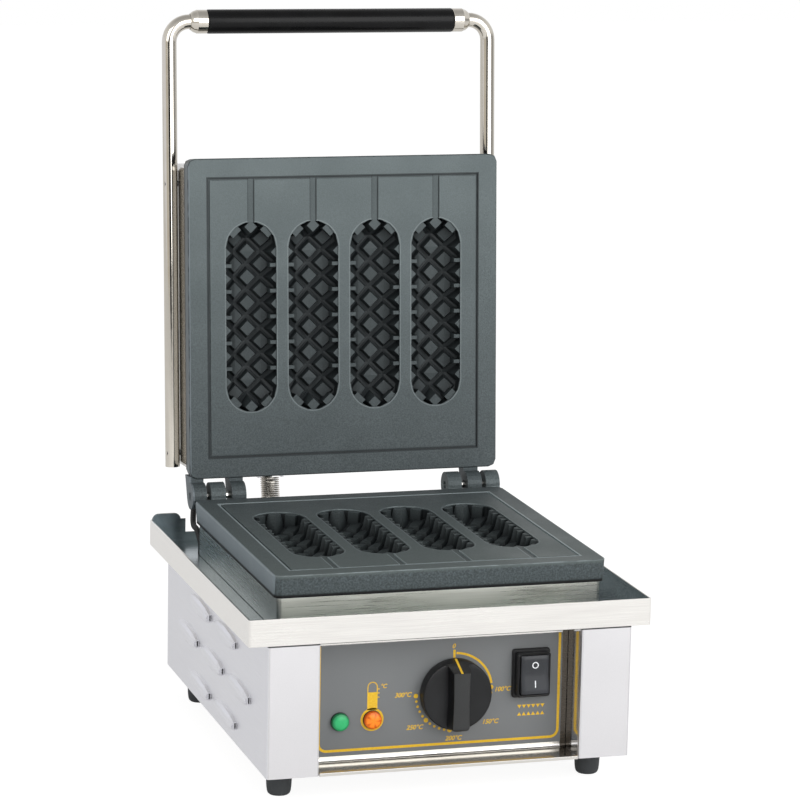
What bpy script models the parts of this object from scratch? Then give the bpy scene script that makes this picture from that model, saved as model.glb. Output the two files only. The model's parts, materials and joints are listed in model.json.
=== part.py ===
"""Waffle stick maker: a square countertop iron with two cast iron plates, modelled in metres, +Z up.

The base stands on four rubber feet. Its local frame starts at the front edge of the top tray, and
base_frame moves that edge so that the origin lies under the middle of the open machine.
Everything on the lid is modelled lying closed, measured from the hinge line, and lid_frame turns it
open. In that closed frame the hinge line is the origin, -Y runs to the handle and +Z points up.
"""
import math

import bmesh
import bpy
from mathutils import Matrix, Vector

# General sheet and fitting values
SHEET = 0.0012
FIT_GAP = 0.0003
OVERRUN = 0.002
BEND_RADIUS = 0.0016
MERGE_DISTANCE = 0.00001
CORNER_STEPS = 2

# Top tray
TRAY_WIDTH = 0.305
FRONT_GUTTER = 0.028
RIM_HEIGHT = 0.020
EAR_RISE = 0.0048
EAR_WIDTH = 0.0235
EAR_RADIUS = 0.0055
EAR_STEPS = 4
EAR_FOOT_WIDTH = 0.0055
EAR_SKIN_SHARE = 0.02
REAR_WALL_HEIGHT = 0.0078
WIRE_HOLE_RADIUS = 0.012

# Chassis under the tray
TRAY_OVERHANG = 0.0145
CHASSIS_HEIGHT = 0.0988
FRONT_SETBACK = 0.0005
REAR_SETBACK = 0.0035
POST_WIDTH = 0.039
PANEL_RECESS = 0.0295
PAN_FLANGE = 0.012
PAN_LIP = 0.0022

# Side louvres, in two rows of two and a middle row of three
LOUVRE_LENGTH = 0.072
LOUVRE_HEIGHT = 0.0155
LOUVRE_BULGE = 0.0042
LOUVRE_PITCH = 0.0816
LOUVRE_ROW_PITCH = 0.0308
LOUVRE_MIDDLE_Z = 0.0672
LOUVRE_SHIFT = 0.0087
LOUVRE_SLIT = 0.0013
LOUVRE_SLIT_HEIGHT = 0.0044
LOUVRE_SLIT_LENGTH = 0.018
LOUVRE_SIDES = 6
# From the rear tip to the front: share of the length, of the height and of the bulge
LOUVRE_SHARES = ((0, 0.16, 0.04), (0.22, 0.72, 0.55), (0.55, 1, 0.95), (0.86, 0.77, 1), (1, 0.42, 0.92))

# Rubber feet
FOOT_HEIGHT = 0.0225
FOOT_TOP_RADIUS = 0.0102
FOOT_BOTTOM_RADIUS = 0.0088
FOOT_EDGE_RADIUS = 0.0028
FOOT_SIDE_INSET = 0.0188
FOOT_FRONT_INSET = 0.037
FOOT_REAR_INSET = 0.0325
FOOT_SCREW_RADIUS = 0.0021
FOOT_SCREW_HEAD = 0.0042

# Castings: both plates are one pattern, turned face to face
PLATE_WIDTH = 0.254
PLATE_LENGTH = 0.253
PLATE_THICKNESS = 0.017
PLATE_CORNER = 0.006
PLATE_DRAFT = 0.0012
PLATE_EDGE = 0.0008
FACE_CLEARANCE = 0.0004
REAR_EDGE_TO_HINGE = 0.0132
GROOVE_SIDE_MARGIN = 0.016
GROOVE_FRONT_MARGIN = 0.0155
GROOVE_REAR_MARGIN = 0.0165
GROOVE_WIDTH = 0.0018
GROOVE_DEPTH = 0.0011
VENT_WIDTH = 0.0048
VENT_DEPTH = 0.0009
CAVITY_COUNT = 4
CAVITY_PITCH = 0.0507
CAVITY_RADIUS = 0.0205
CAVITY_CURVE_SHARE = 0.9
CAVITY_LENGTH = 0.1508
CAVITY_DEPTH = 0.0188
CAVITY_SHIFT = 0.0009
CAVITY_WALL = 0.0040
PEG_HEIGHT = 0.0050
PEG_PITCH = 0.0204
PEG_COLUMN_PITCH = 0.0107
PEG_TIP_HALF = 0.0060
RIM_PEG_TIP_HALF = 0.0050
PEG_FOOT_HALF = 0.0081
RIM_PEG_DROP = 0.0010
END_TOOTH_LENGTH = 0.0090
END_TOOTH_DROP = 0.0012
CAVITY_ARC_STEPS = 7
BULGE_PROFILE_SHARES = ((0.94, 0.4), (0.76, 0.78), (0.42, 1))
BULGE_ARC_STEPS = 5
EYE_STEPS = 14

# Hinge
KNUCKLE_RADIUS = 0.0105
KNUCKLE_WIDTH = 0.012
LUG_WIDTH = 0.0115
OUTER_HINGE_GAP = 0.0035
INNER_HINGE_GAP = 0.0050
HINGE_PIN_RADIUS = 0.003
PIN_RECESS = 0.0015
KNUCKLE_RELIEF = 0.0014
OPEN_TILT = math.radians(3.85)
HINGE_BACK = 0.0308
HINGE_RISE = 0.0246

# Plinth and what is inside it
PLINTH_SIDE_INSET = 0.0035
PLINTH_FRONT_INSET = 0.0032
PLINTH_REAR_INSET = 0.0032
PLINTH_FLANGE = 0.007
ELEMENT_RADIUS = 0.004
ELEMENT_BEND = 0.016
ELEMENT_BEND_STEPS = 4
ELEMENT_CROSSING = 0.228
CLAMP_WIDTH = 0.016
CLAMP_THICKNESS = 0.002
STANDOFF_RADIUS = 0.005
STANDOFF_INSET = 0.013
INSULATION_INSET = 0.022
LOWER_INSULATION_THICKNESS = 0.010

# Lid casing
CASING_WIDTH = 0.251
CASING_REAR = 0.0183
CASING_FRONT = 0.2590
CASING_DEPTH = 0.0465
CASING_EDGE = 0.003
UPPER_INSULATION_THICKNESS = 0.018

# Handle
ROD_RADIUS = 0.0058
ROD_HEIGHT = 0.0405
ROD_REACH = 0.3718
ROD_BEND = 0.0155
ROD_BEND_STEPS = 4
GRIP_RADIUS = 0.0096
FERRULE_BEND_GAP = 0.0013
FERRULE_LENGTH = 0.0135
FERRULE_RADIUS = 0.0092
FERRULE_CONE = 0.0065
FERRULE_TIP_RADIUS = 0.0066
ROD_SCREW_REAR = 0.0295
ROD_SCREW_FRONT = 0.2445
ROD_SCREW_RADIUS = 0.0020
ROD_SCREW_HEAD = 0.0038

# Control fascia and overlay
FASCIA_TOP_DROP = 0.0085
FASCIA_FLANGE = 0.009
OVERLAY_THICKNESS = 0.0006
OVERLAY_SIDE_MARGIN = 0.0043
OVERLAY_BOTTOM_MARGIN = 0.0039

# Thermostat and knob
KNOB_X_SHARE = 0.1061
KNOB_Z = 0.0710
SKIRT_RADIUS = 0.0270
SKIRT_HEIGHT = 0.0095
SKIRT_GAP = 0.0012
SKIRT_EDGE = 0.0016
RIDGE_WIDTH = 0.0138
RIDGE_HEIGHT = 0.0195
POINTER_SLOPE = 0.0070
RIDGE_EDGE = 0.0018
SHAFT_RADIUS = 0.003
SHAFT_ENGAGEMENT = 0.012
SHAFT_CLEARANCE = 0.0003
THERMOSTAT_WIDTH = 0.040
THERMOSTAT_HEIGHT = 0.034
THERMOSTAT_DEPTH = 0.024
BUSH_RADIUS = 0.0055
BUSH_LENGTH = 0.0035

# Rocker switch
ROCKER_X_SHARE = 0.702
ROCKER_Z = 0.0828
BEZEL_WIDTH = 0.0290
BEZEL_HEIGHT = 0.0370
BEZEL_THICKNESS = 0.0022
COLLAR_WALL_INSET = 0.0018
COLLAR_HEIGHT = 0.0095
ROCKER_WIDTH = 0.0210
ROCKER_HEIGHT = 0.0287
ROCKER_REACH = 0.0125
ROCKER_GAP = 0.0010
ROCKER_DISH = 0.0012
ROCKER_REST_TILT = math.radians(4.0)
SWITCH_BODY_DEPTH = 0.022
SWITCH_BODY_INSET = 0.0028

# Lamps
GREEN_LAMP_X_SHARE = -0.7707
ORANGE_LAMP_X_SHARE = -0.5212
LAMP_Z = 0.0541
LAMP_COLLAR_RADIUS = 0.0070
LAMP_COLLAR_HEIGHT = 0.0008
LENS_RADIUS = 0.0067
LENS_SIDE = 0.0018
LENS_DOME = 0.0022
LAMP_BODY_RADIUS = 0.0046
LAMP_BODY_DEPTH = 0.022

# Wiring
TERMINAL_LENGTH = 0.040
TERMINAL_WIDTH = 0.020
TERMINAL_HEIGHT = 0.016
GLAND_SIDE_INSET = 0.043
GLAND_Z = 0.050
GLAND_NUT_RADIUS = 0.0115
GLAND_BODY_RADIUS = 0.0085
GLAND_BORE_RADIUS = 0.0045
GLAND_REACH = 0.016
GLAND_TIP_SHARE = 0.85
LEAD_RADIUS = 0.0023
LEAD_SIDE_INSET = 0.0064
LEAD_LID_HEIGHT = 0.047
LEAD_POINTS = 16
LEAD_LIFT_SHARES = (2, 2.6)

# Balance spring
SPRING_X = -0.0546
SPRING_WIRE = 0.0016
SPRING_OUTER_RADIUS = 0.0079
SPRING_PITCH = 0.0024
SPRING_CURLS = 30
SPRING_POINTS = 8
SPRING_STRAIGHT_SHARE = 1.25
SPRING_LID_REACH = 0.012
SPRING_LID_HEIGHT = 0.030
SPRING_BASE_BACK = 0.290
SPRING_BASE_Z = 0.036
ANCHOR_PIN_RADIUS = 0.0025
ANCHOR_EAR_THICKNESS = 0.002
ANCHOR_EAR_HALF = 0.005
ANCHOR_WIDTH = 0.021
SPRING_SLOT_MARGIN = 0.0018

# Names of the four corners, in the order in which corner pieces are placed
CORNERS = ("rear_left", "front_left", "rear_right", "front_right")

# Facet counts
ROUND = 24
SMALL_ROUND = 10
LAMP_SIDES = 12
FOOT_SIDES = 12
SCREW_SIDES = 6
KNOB_SIDES = 24
GRIP_SIDES = 16

# Derived heights and places in the base frame, measured from the tray's front edge
CHASSIS_BOTTOM = FOOT_HEIGHT
CHASSIS_TOP = CHASSIS_BOTTOM + CHASSIS_HEIGHT
FLOOR_UNDER = CHASSIS_TOP + FIT_GAP
FLOOR_TOP = FLOOR_UNDER + SHEET
RIM_TOP = FLOOR_UNDER + RIM_HEIGHT
PLATE_FRONT_REACH = REAR_EDGE_TO_HINGE + PLATE_LENGTH
TRAY_DEPTH = FRONT_GUTTER + PLATE_FRONT_REACH + HINGE_BACK
CHASSIS_HALF = TRAY_WIDTH / 2 - TRAY_OVERHANG
CHASSIS_FRONT = FRONT_SETBACK
CHASSIS_REAR = TRAY_DEPTH - REAR_SETBACK
HINGE_Y = TRAY_DEPTH - HINGE_BACK
HINGE_Z = RIM_TOP + HINGE_RISE
PLATE_HALF = PLATE_WIDTH / 2
PLATE_BACK = FACE_CLEARANCE + PLATE_THICKNESS
PLATE_UNDER_Z = HINGE_Z - PLATE_BACK
CAVITY_BACK = FACE_CLEARANCE + CAVITY_DEPTH + CAVITY_WALL
CAVITY_MIDDLE = REAR_EDGE_TO_HINGE + PLATE_LENGTH / 2 + CAVITY_SHIFT
CAVITY_STRAIGHT = CAVITY_LENGTH - 2 * CAVITY_RADIUS
HINGE_CENTRE_X = PLATE_HALF - LUG_WIDTH - OUTER_HINGE_GAP - KNUCKLE_WIDTH / 2
INNER_LUG_LOW = HINGE_CENTRE_X - KNUCKLE_WIDTH / 2 - INNER_HINGE_GAP - LUG_WIDTH
PANEL_FACE = CHASSIS_FRONT + PANEL_RECESS
POST_INNER = CHASSIS_HALF - POST_WIDTH
KNOB_X = POST_INNER * KNOB_X_SHARE
ROCKER_X = POST_INNER * ROCKER_X_SHARE
GREEN_LAMP_X = POST_INNER * GREEN_LAMP_X_SHARE
ORANGE_LAMP_X = POST_INNER * ORANGE_LAMP_X_SHARE
GLAND_X = CHASSIS_HALF - GLAND_SIDE_INSET
PAN_TOP = CHASSIS_BOTTOM + SHEET
ELEMENT_LEVEL = PLATE_BACK + FIT_GAP + ELEMENT_RADIUS
CASING_BOTTOM = PLATE_BACK + FIT_GAP
CASING_TOP = CASING_BOTTOM + CASING_DEPTH
ROD_X = CASING_WIDTH / 2 + FIT_GAP + ROD_RADIUS
OPEN_TURN = -(math.pi / 2 + OPEN_TILT)
PLINTH_FRONT = HINGE_Y - PLATE_FRONT_REACH + PLINTH_FRONT_INSET
PLINTH_REAR = HINGE_Y - REAR_EDGE_TO_HINGE - PLINTH_REAR_INSET
PLINTH_HALF = PLATE_HALF - PLINTH_SIDE_INSET
RIDGE_FRONT = PANEL_FACE - OVERLAY_THICKNESS - 2 * FIT_GAP - SKIRT_GAP - RIDGE_HEIGHT
FRONT_REACH = min(0, RIDGE_FRONT)
CORNER_REACH = (CASING_FRONT - CASING_EDGE) * math.sin(OPEN_TILT)
CASING_CORNER_BACK = CORNER_REACH + (CASING_TOP - CASING_EDGE) * math.cos(OPEN_TILT) + CASING_EDGE
REAR_REACH = HINGE_Y + CASING_CORNER_BACK
FRONT_Y = -(FRONT_REACH + REAR_REACH) / 2

for leftover in list(bpy.data.objects):
    bpy.data.objects.remove(leftover, do_unlink=True)

PARTS = bpy.data.collections.new("waffle_stick_maker")
CUTTERS = bpy.data.collections.new("waffle_stick_maker_cutters")
bpy.context.scene.collection.children.link(PARTS)
bpy.context.scene.collection.children.link(CUTTERS)


def make_material(name, colour, roughness, metallic):
    mat = bpy.data.materials.new(name)
    mat.use_nodes = True
    shader = mat.node_tree.nodes["Principled BSDF"]
    shader.inputs["Base Color"].default_value = (*colour, 1)
    shader.inputs["Roughness"].default_value = roughness
    shader.inputs["Metallic"].default_value = metallic
    mat.diffuse_color = (*colour, 1)
    return mat


STAINLESS = make_material("stainless_steel", (0.66, 0.66, 0.67), 0.28, 1.0)
CAST_IRON = make_material("cast_iron", (0.12, 0.145, 0.15), 0.6, 0.6)
CHROME = make_material("bright_steel", (0.75, 0.74, 0.72), 0.1, 1.0)
RUBBER = make_material("foot_rubber", (0.035, 0.04, 0.042), 0.75, 0.0)
BLACK_PLASTIC = make_material("black_plastic", (0.012, 0.012, 0.012), 0.35, 0.0)
PANEL_GREY = make_material("panel_grey", (0.16, 0.165, 0.17), 0.45, 0.0)
GREEN_LENS = make_material("green_lens", (0.05, 0.45, 0.18), 0.2, 0.0)
ORANGE_LENS = make_material("orange_lens", (0.87, 0.15, 0.02), 0.2, 0.0)
ELEMENT_STEEL = make_material("element_steel", (0.25, 0.24, 0.23), 0.45, 1.0)
MINERAL_BOARD = make_material("mineral_board", (0.62, 0.58, 0.50), 0.9, 0.0)
CERAMIC = make_material("ceramic", (0.75, 0.72, 0.66), 0.6, 0.0)
SLEEVE = make_material("black_sleeve", (0.02, 0.02, 0.02), 0.7, 0.0)
SPRING_STEEL = make_material("spring_steel", (0.62, 0.60, 0.56), 0.25, 1.0)


def add_empty(name, parent, location, turn=0.0):
    empty = bpy.data.objects.new(name, None)
    PARTS.objects.link(empty)
    empty.parent = parent
    empty.location = location
    empty.rotation_euler = (turn, 0, 0)
    return empty


BASE = add_empty("base_frame", None, (0, FRONT_Y, 0))
LID = add_empty("lid_frame", BASE, (0, HINGE_Y, HINGE_Z), OPEN_TURN)
KNOB = add_empty("knob_frame", BASE, (KNOB_X, PANEL_FACE, KNOB_Z))
ROCKER = add_empty("rocker_frame", BASE, (ROCKER_X, PANEL_FACE, ROCKER_Z))


def add_mesh(name, bm, mat, parent, smooth=True):
    """Makes a part from a bmesh whose coordinates are in the parent's frame."""
    bmesh.ops.recalc_face_normals(bm, faces=bm.faces)
    mesh = bpy.data.meshes.new(name)
    bm.to_mesh(mesh)
    bm.free()
    obj = bpy.data.objects.new(name, mesh)
    PARTS.objects.link(obj)
    obj.parent = parent
    mesh.materials.append(mat)
    if smooth:
        mesh.shade_smooth()
        mesh.set_sharp_from_angle(angle=math.radians(35))
    return obj


def add_cutter(name, bm, parent):
    bmesh.ops.recalc_face_normals(bm, faces=bm.faces)
    mesh = bpy.data.meshes.new(name)
    bm.to_mesh(mesh)
    bm.free()
    obj = bpy.data.objects.new(name, mesh)
    CUTTERS.objects.link(obj)
    obj.parent = parent
    obj.hide_render = True
    obj.display_type = "WIRE"
    return obj


def boolean(obj, cutter, operation):
    modifier = obj.modifiers.new(cutter.name, "BOOLEAN")
    modifier.operation = operation
    modifier.solver = "EXACT"
    modifier.object = cutter


def put_box(bm, low, high):
    size = [b - a for a, b in zip(low, high)]
    middle = [(a + b) / 2 for a, b in zip(low, high)]
    matrix = Matrix.Translation(middle) @ Matrix.Diagonal((*size, 1))
    return bmesh.ops.create_cube(bm, size=1, matrix=matrix)["verts"]


def put_round(bm, start, end, radius, segments=ROUND, end_radius=None):
    start, end = Vector(start), Vector(end)
    run = end - start
    turn = Vector((0, 0, 1)).rotation_difference(run).to_matrix().to_4x4()
    matrix = Matrix.Translation((start + end) / 2) @ turn
    far = radius if end_radius is None else end_radius
    return bmesh.ops.create_cone(bm, cap_ends=True, segments=segments, radius1=radius, radius2=far,
                                 depth=run.length, matrix=matrix)["verts"]


def loft(bm, loops):
    """Joins closed loops of equal length with quads and closes both ends."""
    rings = [[bm.verts.new(point) for point in loop] for loop in loops]
    count = len(rings[0])
    for ring, following in zip(rings, rings[1:]):
        for i in range(count):
            j = (i + 1) % count
            bm.faces.new((ring[i], ring[j], following[j], following[i]))
    bm.faces.new(rings[0])
    bm.faces.new(list(reversed(rings[-1])))


def rounded_rectangle(low, high, radius, steps):
    """Outline of a rectangle with round corners, counter-clockwise."""
    points = []
    corners = ((high[0], high[1], 0), (low[0], high[1], 1), (low[0], low[1], 2), (high[0], low[1], 3))
    for x, y, quarter in corners:
        cx = x - radius if quarter in (0, 3) else x + radius
        cy = y - radius if quarter in (0, 1) else y + radius
        for k in range(steps + 1):
            angle = (quarter + k / steps) * math.pi / 2
            points.append((cx + radius * math.cos(angle), cy + radius * math.sin(angle)))
    return points


def rounded_path(points, radius, steps):
    """An open path whose inner corners become arcs."""
    path = [Vector(points[0])]
    for before, corner, after in zip(points, points[1:], points[2:]):
        corner = Vector(corner)
        back = (Vector(before) - corner).normalized()
        on = (Vector(after) - corner).normalized()
        half = back.angle(on) / 2
        reach = radius / math.tan(half)
        centre = corner + (back + on).normalized() * radius / math.sin(half)
        start = corner + back * reach - centre
        sweep = start.angle_signed(corner + on * reach - centre)
        for k in range(steps + 1):
            turn = Matrix.Rotation(-sweep * k / steps, 2)
            path.append(centre + turn @ start)
    path.append(Vector(points[-1]))
    return path


def strip_outline(path, thickness):
    """Outline of a bent sheet: the path and its copy one thickness to the left of its run."""
    offset = []
    for i, point in enumerate(path):
        before = (point - path[i - 1]).normalized() if i else None
        after = (path[i + 1] - point).normalized() if i + 1 < len(path) else None
        run = before if after is None else after if before is None else (before + after).normalized()
        normal = Vector((-run.y, run.x))
        side = before or after
        stretch = normal.dot(Vector((-side.y, side.x)))
        offset.append(point + normal * thickness / stretch)
    return list(path) + list(reversed(offset))


def prism(bm, outline, start, end, place):
    """Extrudes a flat outline from start to end; place turns (a, b, level) into a point."""
    loft(bm, [[place(a, b, level) for a, b in outline] for level in (start, end)])


def along_z(a, b, level):
    return (a, b, level)


def along_x(a, b, level):
    return (level, a, b)


def along_y(a, b, level):
    return (a, level, b)


def turned(name, profile, mat, parent, matrix, segments=ROUND):
    """A turned piece: a profile of (radius, height) from top to bottom with a Screw modifier."""
    mesh = bpy.data.meshes.new(name)
    mesh.from_pydata([(r, 0, z) for r, z in profile], [(i, i + 1) for i in range(len(profile) - 1)], [])
    obj = bpy.data.objects.new(name, mesh)
    PARTS.objects.link(obj)
    obj.parent = parent
    obj.matrix_local = matrix
    mesh.materials.append(mat)
    screw = obj.modifiers.new("turn", "SCREW")
    screw.steps = segments
    screw.render_steps = segments
    screw.use_merge_vertices = True
    screw.merge_threshold = MERGE_DISTANCE
    screw.use_smooth_shade = True
    return obj


def tube(name, points, radius, mat, parent, resolution=2):
    """A round bar or wire through the points, as a curve with filled caps."""
    curve = bpy.data.curves.new(name, "CURVE")
    curve.dimensions = "3D"
    spline = curve.splines.new("POLY")
    spline.points.add(len(points) - 1)
    for target, point in zip(spline.points, points):
        target.co = (*point, 1)
    curve.bevel_depth = radius
    curve.bevel_resolution = resolution
    curve.use_fill_caps = True
    curve.materials.append(mat)
    obj = bpy.data.objects.new(name, curve)
    PARTS.objects.link(obj)
    obj.parent = parent
    return obj


def smooth_route(points, count):
    """Points along a Catmull-Rom curve through the given ones."""
    route = [Vector(p) for p in points]
    ends = [2 * route[0] - route[1], *route, 2 * route[-1] - route[-2]]
    result = []
    for i in range(count):
        place = i / (count - 1) * (len(route) - 1)
        k = min(int(place), len(route) - 2)
        t = place - k
        a, b, c, d = ends[k:k + 4]
        result.append((2 * b + (c - a) * t + (2 * a - 5 * b + 4 * c - d) * t ** 2
                       + (3 * b - a - 3 * c + d) * t ** 3) / 2)
    return result


def baked_mesh(obj):
    bpy.context.view_layer.update()
    evaluated = obj.evaluated_get(bpy.context.evaluated_depsgraph_get())
    return bpy.data.meshes.new_from_object(evaluated)


# Castings

def stadium(radius, level, steps):
    """Outline of a cavity at one depth: two half circles joined by straight sides."""
    half = CAVITY_STRAIGHT / 2
    points = []
    for end, first in ((half, 0.0), (-half, math.pi)):
        for k in range(steps + 1):
            angle = first + math.pi * k / steps
            points.append((radius * math.cos(angle), end + radius * math.sin(angle), level))
    return points


def put_bulge(bm, x, y, face):
    """The half-round back of one cavity, which starts inside the plate and stands out below it."""
    radius, depth = CAVITY_RADIUS + CAVITY_WALL, CAVITY_DEPTH + CAVITY_WALL
    loops = []
    for side_share, depth_share in BULGE_PROFILE_SHARES:
        level = -depth * depth_share
        loops.append([(x + a, y + b, face + c) for a, b, c in stadium(radius * side_share, level, BULGE_ARC_STEPS)])
    loft(bm, loops)


def sink(x, y, depth):
    """Depth of the trough's floor, or of the peg tops, at a place in the cavity's own frame."""
    away = min(math.hypot(x, max(abs(y) - CAVITY_STRAIGHT / 2, 0)), CAVITY_RADIUS)
    return -depth * math.sqrt(1 - (CAVITY_CURVE_SHARE * away / CAVITY_RADIUS) ** 2)


def relief_mesh():
    """The room over the pegged floor: diamond tiles on a diagonal lattice, each with one peg.

    Pegs that the rim cuts end a little below the face. The room is closed at its sides and top.
    """
    bm = bmesh.new()
    step_x, step_y = PEG_COLUMN_PITCH, PEG_PITCH / 2
    far = int(CAVITY_LENGTH / PEG_PITCH) + 1
    corners = {}

    def corner(i, j):
        if (i, j) not in corners:
            x, y = i * step_x, j * step_y
            corners[i, j] = bm.verts.new((x, y, sink(x, y, CAVITY_DEPTH)))
        return corners[i, j]

    around = ((1, 0), (0, 1), (-1, 0), (0, -1))
    for i in range(-2, 3):
        for j in range(-far, far + 1):
            if (i + j) % 2 == 0 or abs(i) + abs(j) > far + 1:
                continue
            x, y = i * step_x, j * step_y
            at_rim = abs(i) == 2 or math.hypot(x, max(abs(y) - CAVITY_STRAIGHT / 2, 0)) > CAVITY_RADIUS - PEG_HEIGHT
            tip_half = RIM_PEG_TIP_HALF if at_rim else PEG_TIP_HALF
            outer = [corner(i + a, j + b) for a, b in around]
            foot = [(x + a * PEG_FOOT_HALF, y + b * PEG_FOOT_HALF) for a, b in around]
            tip = [(x + a * tip_half, y + b * tip_half) for a, b in around]
            foot = [bm.verts.new((a, b, sink(a, b, CAVITY_DEPTH))) for a, b in foot]
            top = CAVITY_DEPTH - PEG_HEIGHT
            tip = [bm.verts.new((a, b, -RIM_PEG_DROP if at_rim else sink(a, b, top))) for a, b in tip]
            for k in range(4):
                n = (k + 1) % 4
                bm.faces.new((outer[k], outer[n], foot[n], foot[k]))
                bm.faces.new((foot[k], foot[n], tip[n], tip[k]))
            bm.faces.new(tip)
    border = [e for e in bm.edges if e.is_boundary]
    raised = bmesh.ops.extrude_edge_only(bm, edges=border)["geom"]
    for vert in (v for v in raised if isinstance(v, bmesh.types.BMVert)):
        vert.co.z = OVERRUN
    bmesh.ops.holes_fill(bm, edges=[e for e in bm.edges if e.is_boundary])
    bmesh.ops.triangulate(bm, faces=bm.faces)
    return bm


def teeth_mesh():
    """A slanted tooth against the wall on each side of both ends, almost up to the face."""
    bm = bmesh.new()
    half = END_TOOTH_LENGTH / 2
    near, far = CAVITY_RADIUS - PEG_HEIGHT, CAVITY_RADIUS + OVERRUN
    for quarter in range(4):
        verts = put_box(bm, (near, -half, -CAVITY_DEPTH - OVERRUN), (far, half, -END_TOOTH_DROP))
        turn = Matrix.Rotation(math.pi / 4 + quarter * math.pi / 2, 4, "Z")
        end = CAVITY_STRAIGHT / 2 if quarter < 2 else -CAVITY_STRAIGHT / 2
        bmesh.ops.transform(bm, matrix=Matrix.Translation((0, end, 0)) @ turn, verts=verts)
    return bm


def cavity_cutter():
    """What is taken out for one stick: the room over the pegs, inside the cavity's outline."""
    room = add_cutter("cavity_room", relief_mesh(), None)
    bm = bmesh.new()
    levels = (-CAVITY_DEPTH - OVERRUN, OVERRUN / 2)
    loft(bm, [stadium(CAVITY_RADIUS, level, CAVITY_ARC_STEPS) for level in levels])
    boolean(room, add_cutter("cavity_outline", bm, None), "INTERSECT")
    boolean(room, add_cutter("cavity_teeth", teeth_mesh(), None), "DIFFERENCE")
    return baked_mesh(room)


def hinge_eye(bm, x_low, x_high):
    """A hinge eye: a round barrel on the hinge line, with a tapered web into the plate's rear edge."""
    root = -REAR_EDGE_TO_HINGE - OVERRUN
    web_top = -FACE_CLEARANCE - KNUCKLE_RELIEF
    web_bottom = -PLATE_BACK + PLATE_DRAFT
    first = math.pi - math.asin(web_top / KNUCKLE_RADIUS)
    last = math.atan2(web_bottom, root) + math.acos(KNUCKLE_RADIUS / math.hypot(root, web_bottom))
    outline = [(root, web_top)]
    for k in range(EYE_STEPS + 1):
        angle = first + (last - first) * k / EYE_STEPS
        outline.append((KNUCKLE_RADIUS * math.cos(angle), KNUCKLE_RADIUS * math.sin(angle)))
    outline.append((root, web_bottom))
    prism(bm, outline, x_low, x_high, along_x)


def casting_mesh():
    """The plate in the lower position: face up, hinge line at the origin, front towards -Y."""
    low = (-PLATE_HALF, -PLATE_FRONT_REACH)
    high = (PLATE_HALF, -REAR_EDGE_TO_HINGE)
    top = -FACE_CLEARANCE

    def ring(inset, level):
        outline = rounded_rectangle([v + inset for v in low], [v - inset for v in high],
                                    PLATE_CORNER - inset, CORNER_STEPS)
        return [(x, y, level) for x, y in outline]

    bm = bmesh.new()
    loft(bm, [ring(PLATE_DRAFT, top - PLATE_THICKNESS), ring(0, top - PLATE_EDGE), ring(PLATE_EDGE, top)])
    plate = add_mesh("casting_pattern", bm, CAST_IRON, None)

    spans = [(HINGE_CENTRE_X - KNUCKLE_WIDTH / 2, HINGE_CENTRE_X + KNUCKLE_WIDTH / 2)]
    spans = [(-b, -a) for a, b in spans]
    spans += [(INNER_LUG_LOW, INNER_LUG_LOW + LUG_WIDTH), (PLATE_HALF - LUG_WIDTH, PLATE_HALF)]
    for index, (a, b) in enumerate(spans):
        bm = bmesh.new()
        hinge_eye(bm, a, b)
        boolean(plate, add_cutter(f"hinge_eye_{index}", bm, None), "UNION")

    bm = bmesh.new()
    for index in range(CAVITY_COUNT):
        put_bulge(bm, cavity_x(index), -CAVITY_MIDDLE, top)
    boolean(plate, add_cutter("cavity_bulges", bm, None), "UNION")

    cutter = cavity_cutter()
    bm = bmesh.new()
    for index in range(CAVITY_COUNT):
        copy = cutter.copy()
        copy.transform(Matrix.Translation((cavity_x(index), -CAVITY_MIDDLE, top)))
        bm.from_mesh(copy)
        bpy.data.meshes.remove(copy)
    boolean(plate, add_cutter("cavities", bm, None), "DIFFERENCE")

    boolean(plate, add_cutter("groove_and_vents", groove_mesh(top), None), "DIFFERENCE")

    bm = bmesh.new()
    for side in (-1, 1):
        put_round(bm, (side * (INNER_LUG_LOW - OVERRUN), 0, 0), (side * (PLATE_HALF + OVERRUN), 0, 0),
                  HINGE_PIN_RADIUS + FIT_GAP, SMALL_ROUND)
    boolean(plate, add_cutter("hinge_bores", bm, None), "DIFFERENCE")
    mesh = baked_mesh(plate)
    bpy.data.objects.remove(plate, do_unlink=True)
    mesh.name = "casting"
    return mesh


def cavity_x(index):
    return (index - (CAVITY_COUNT - 1) / 2) * CAVITY_PITCH


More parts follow.
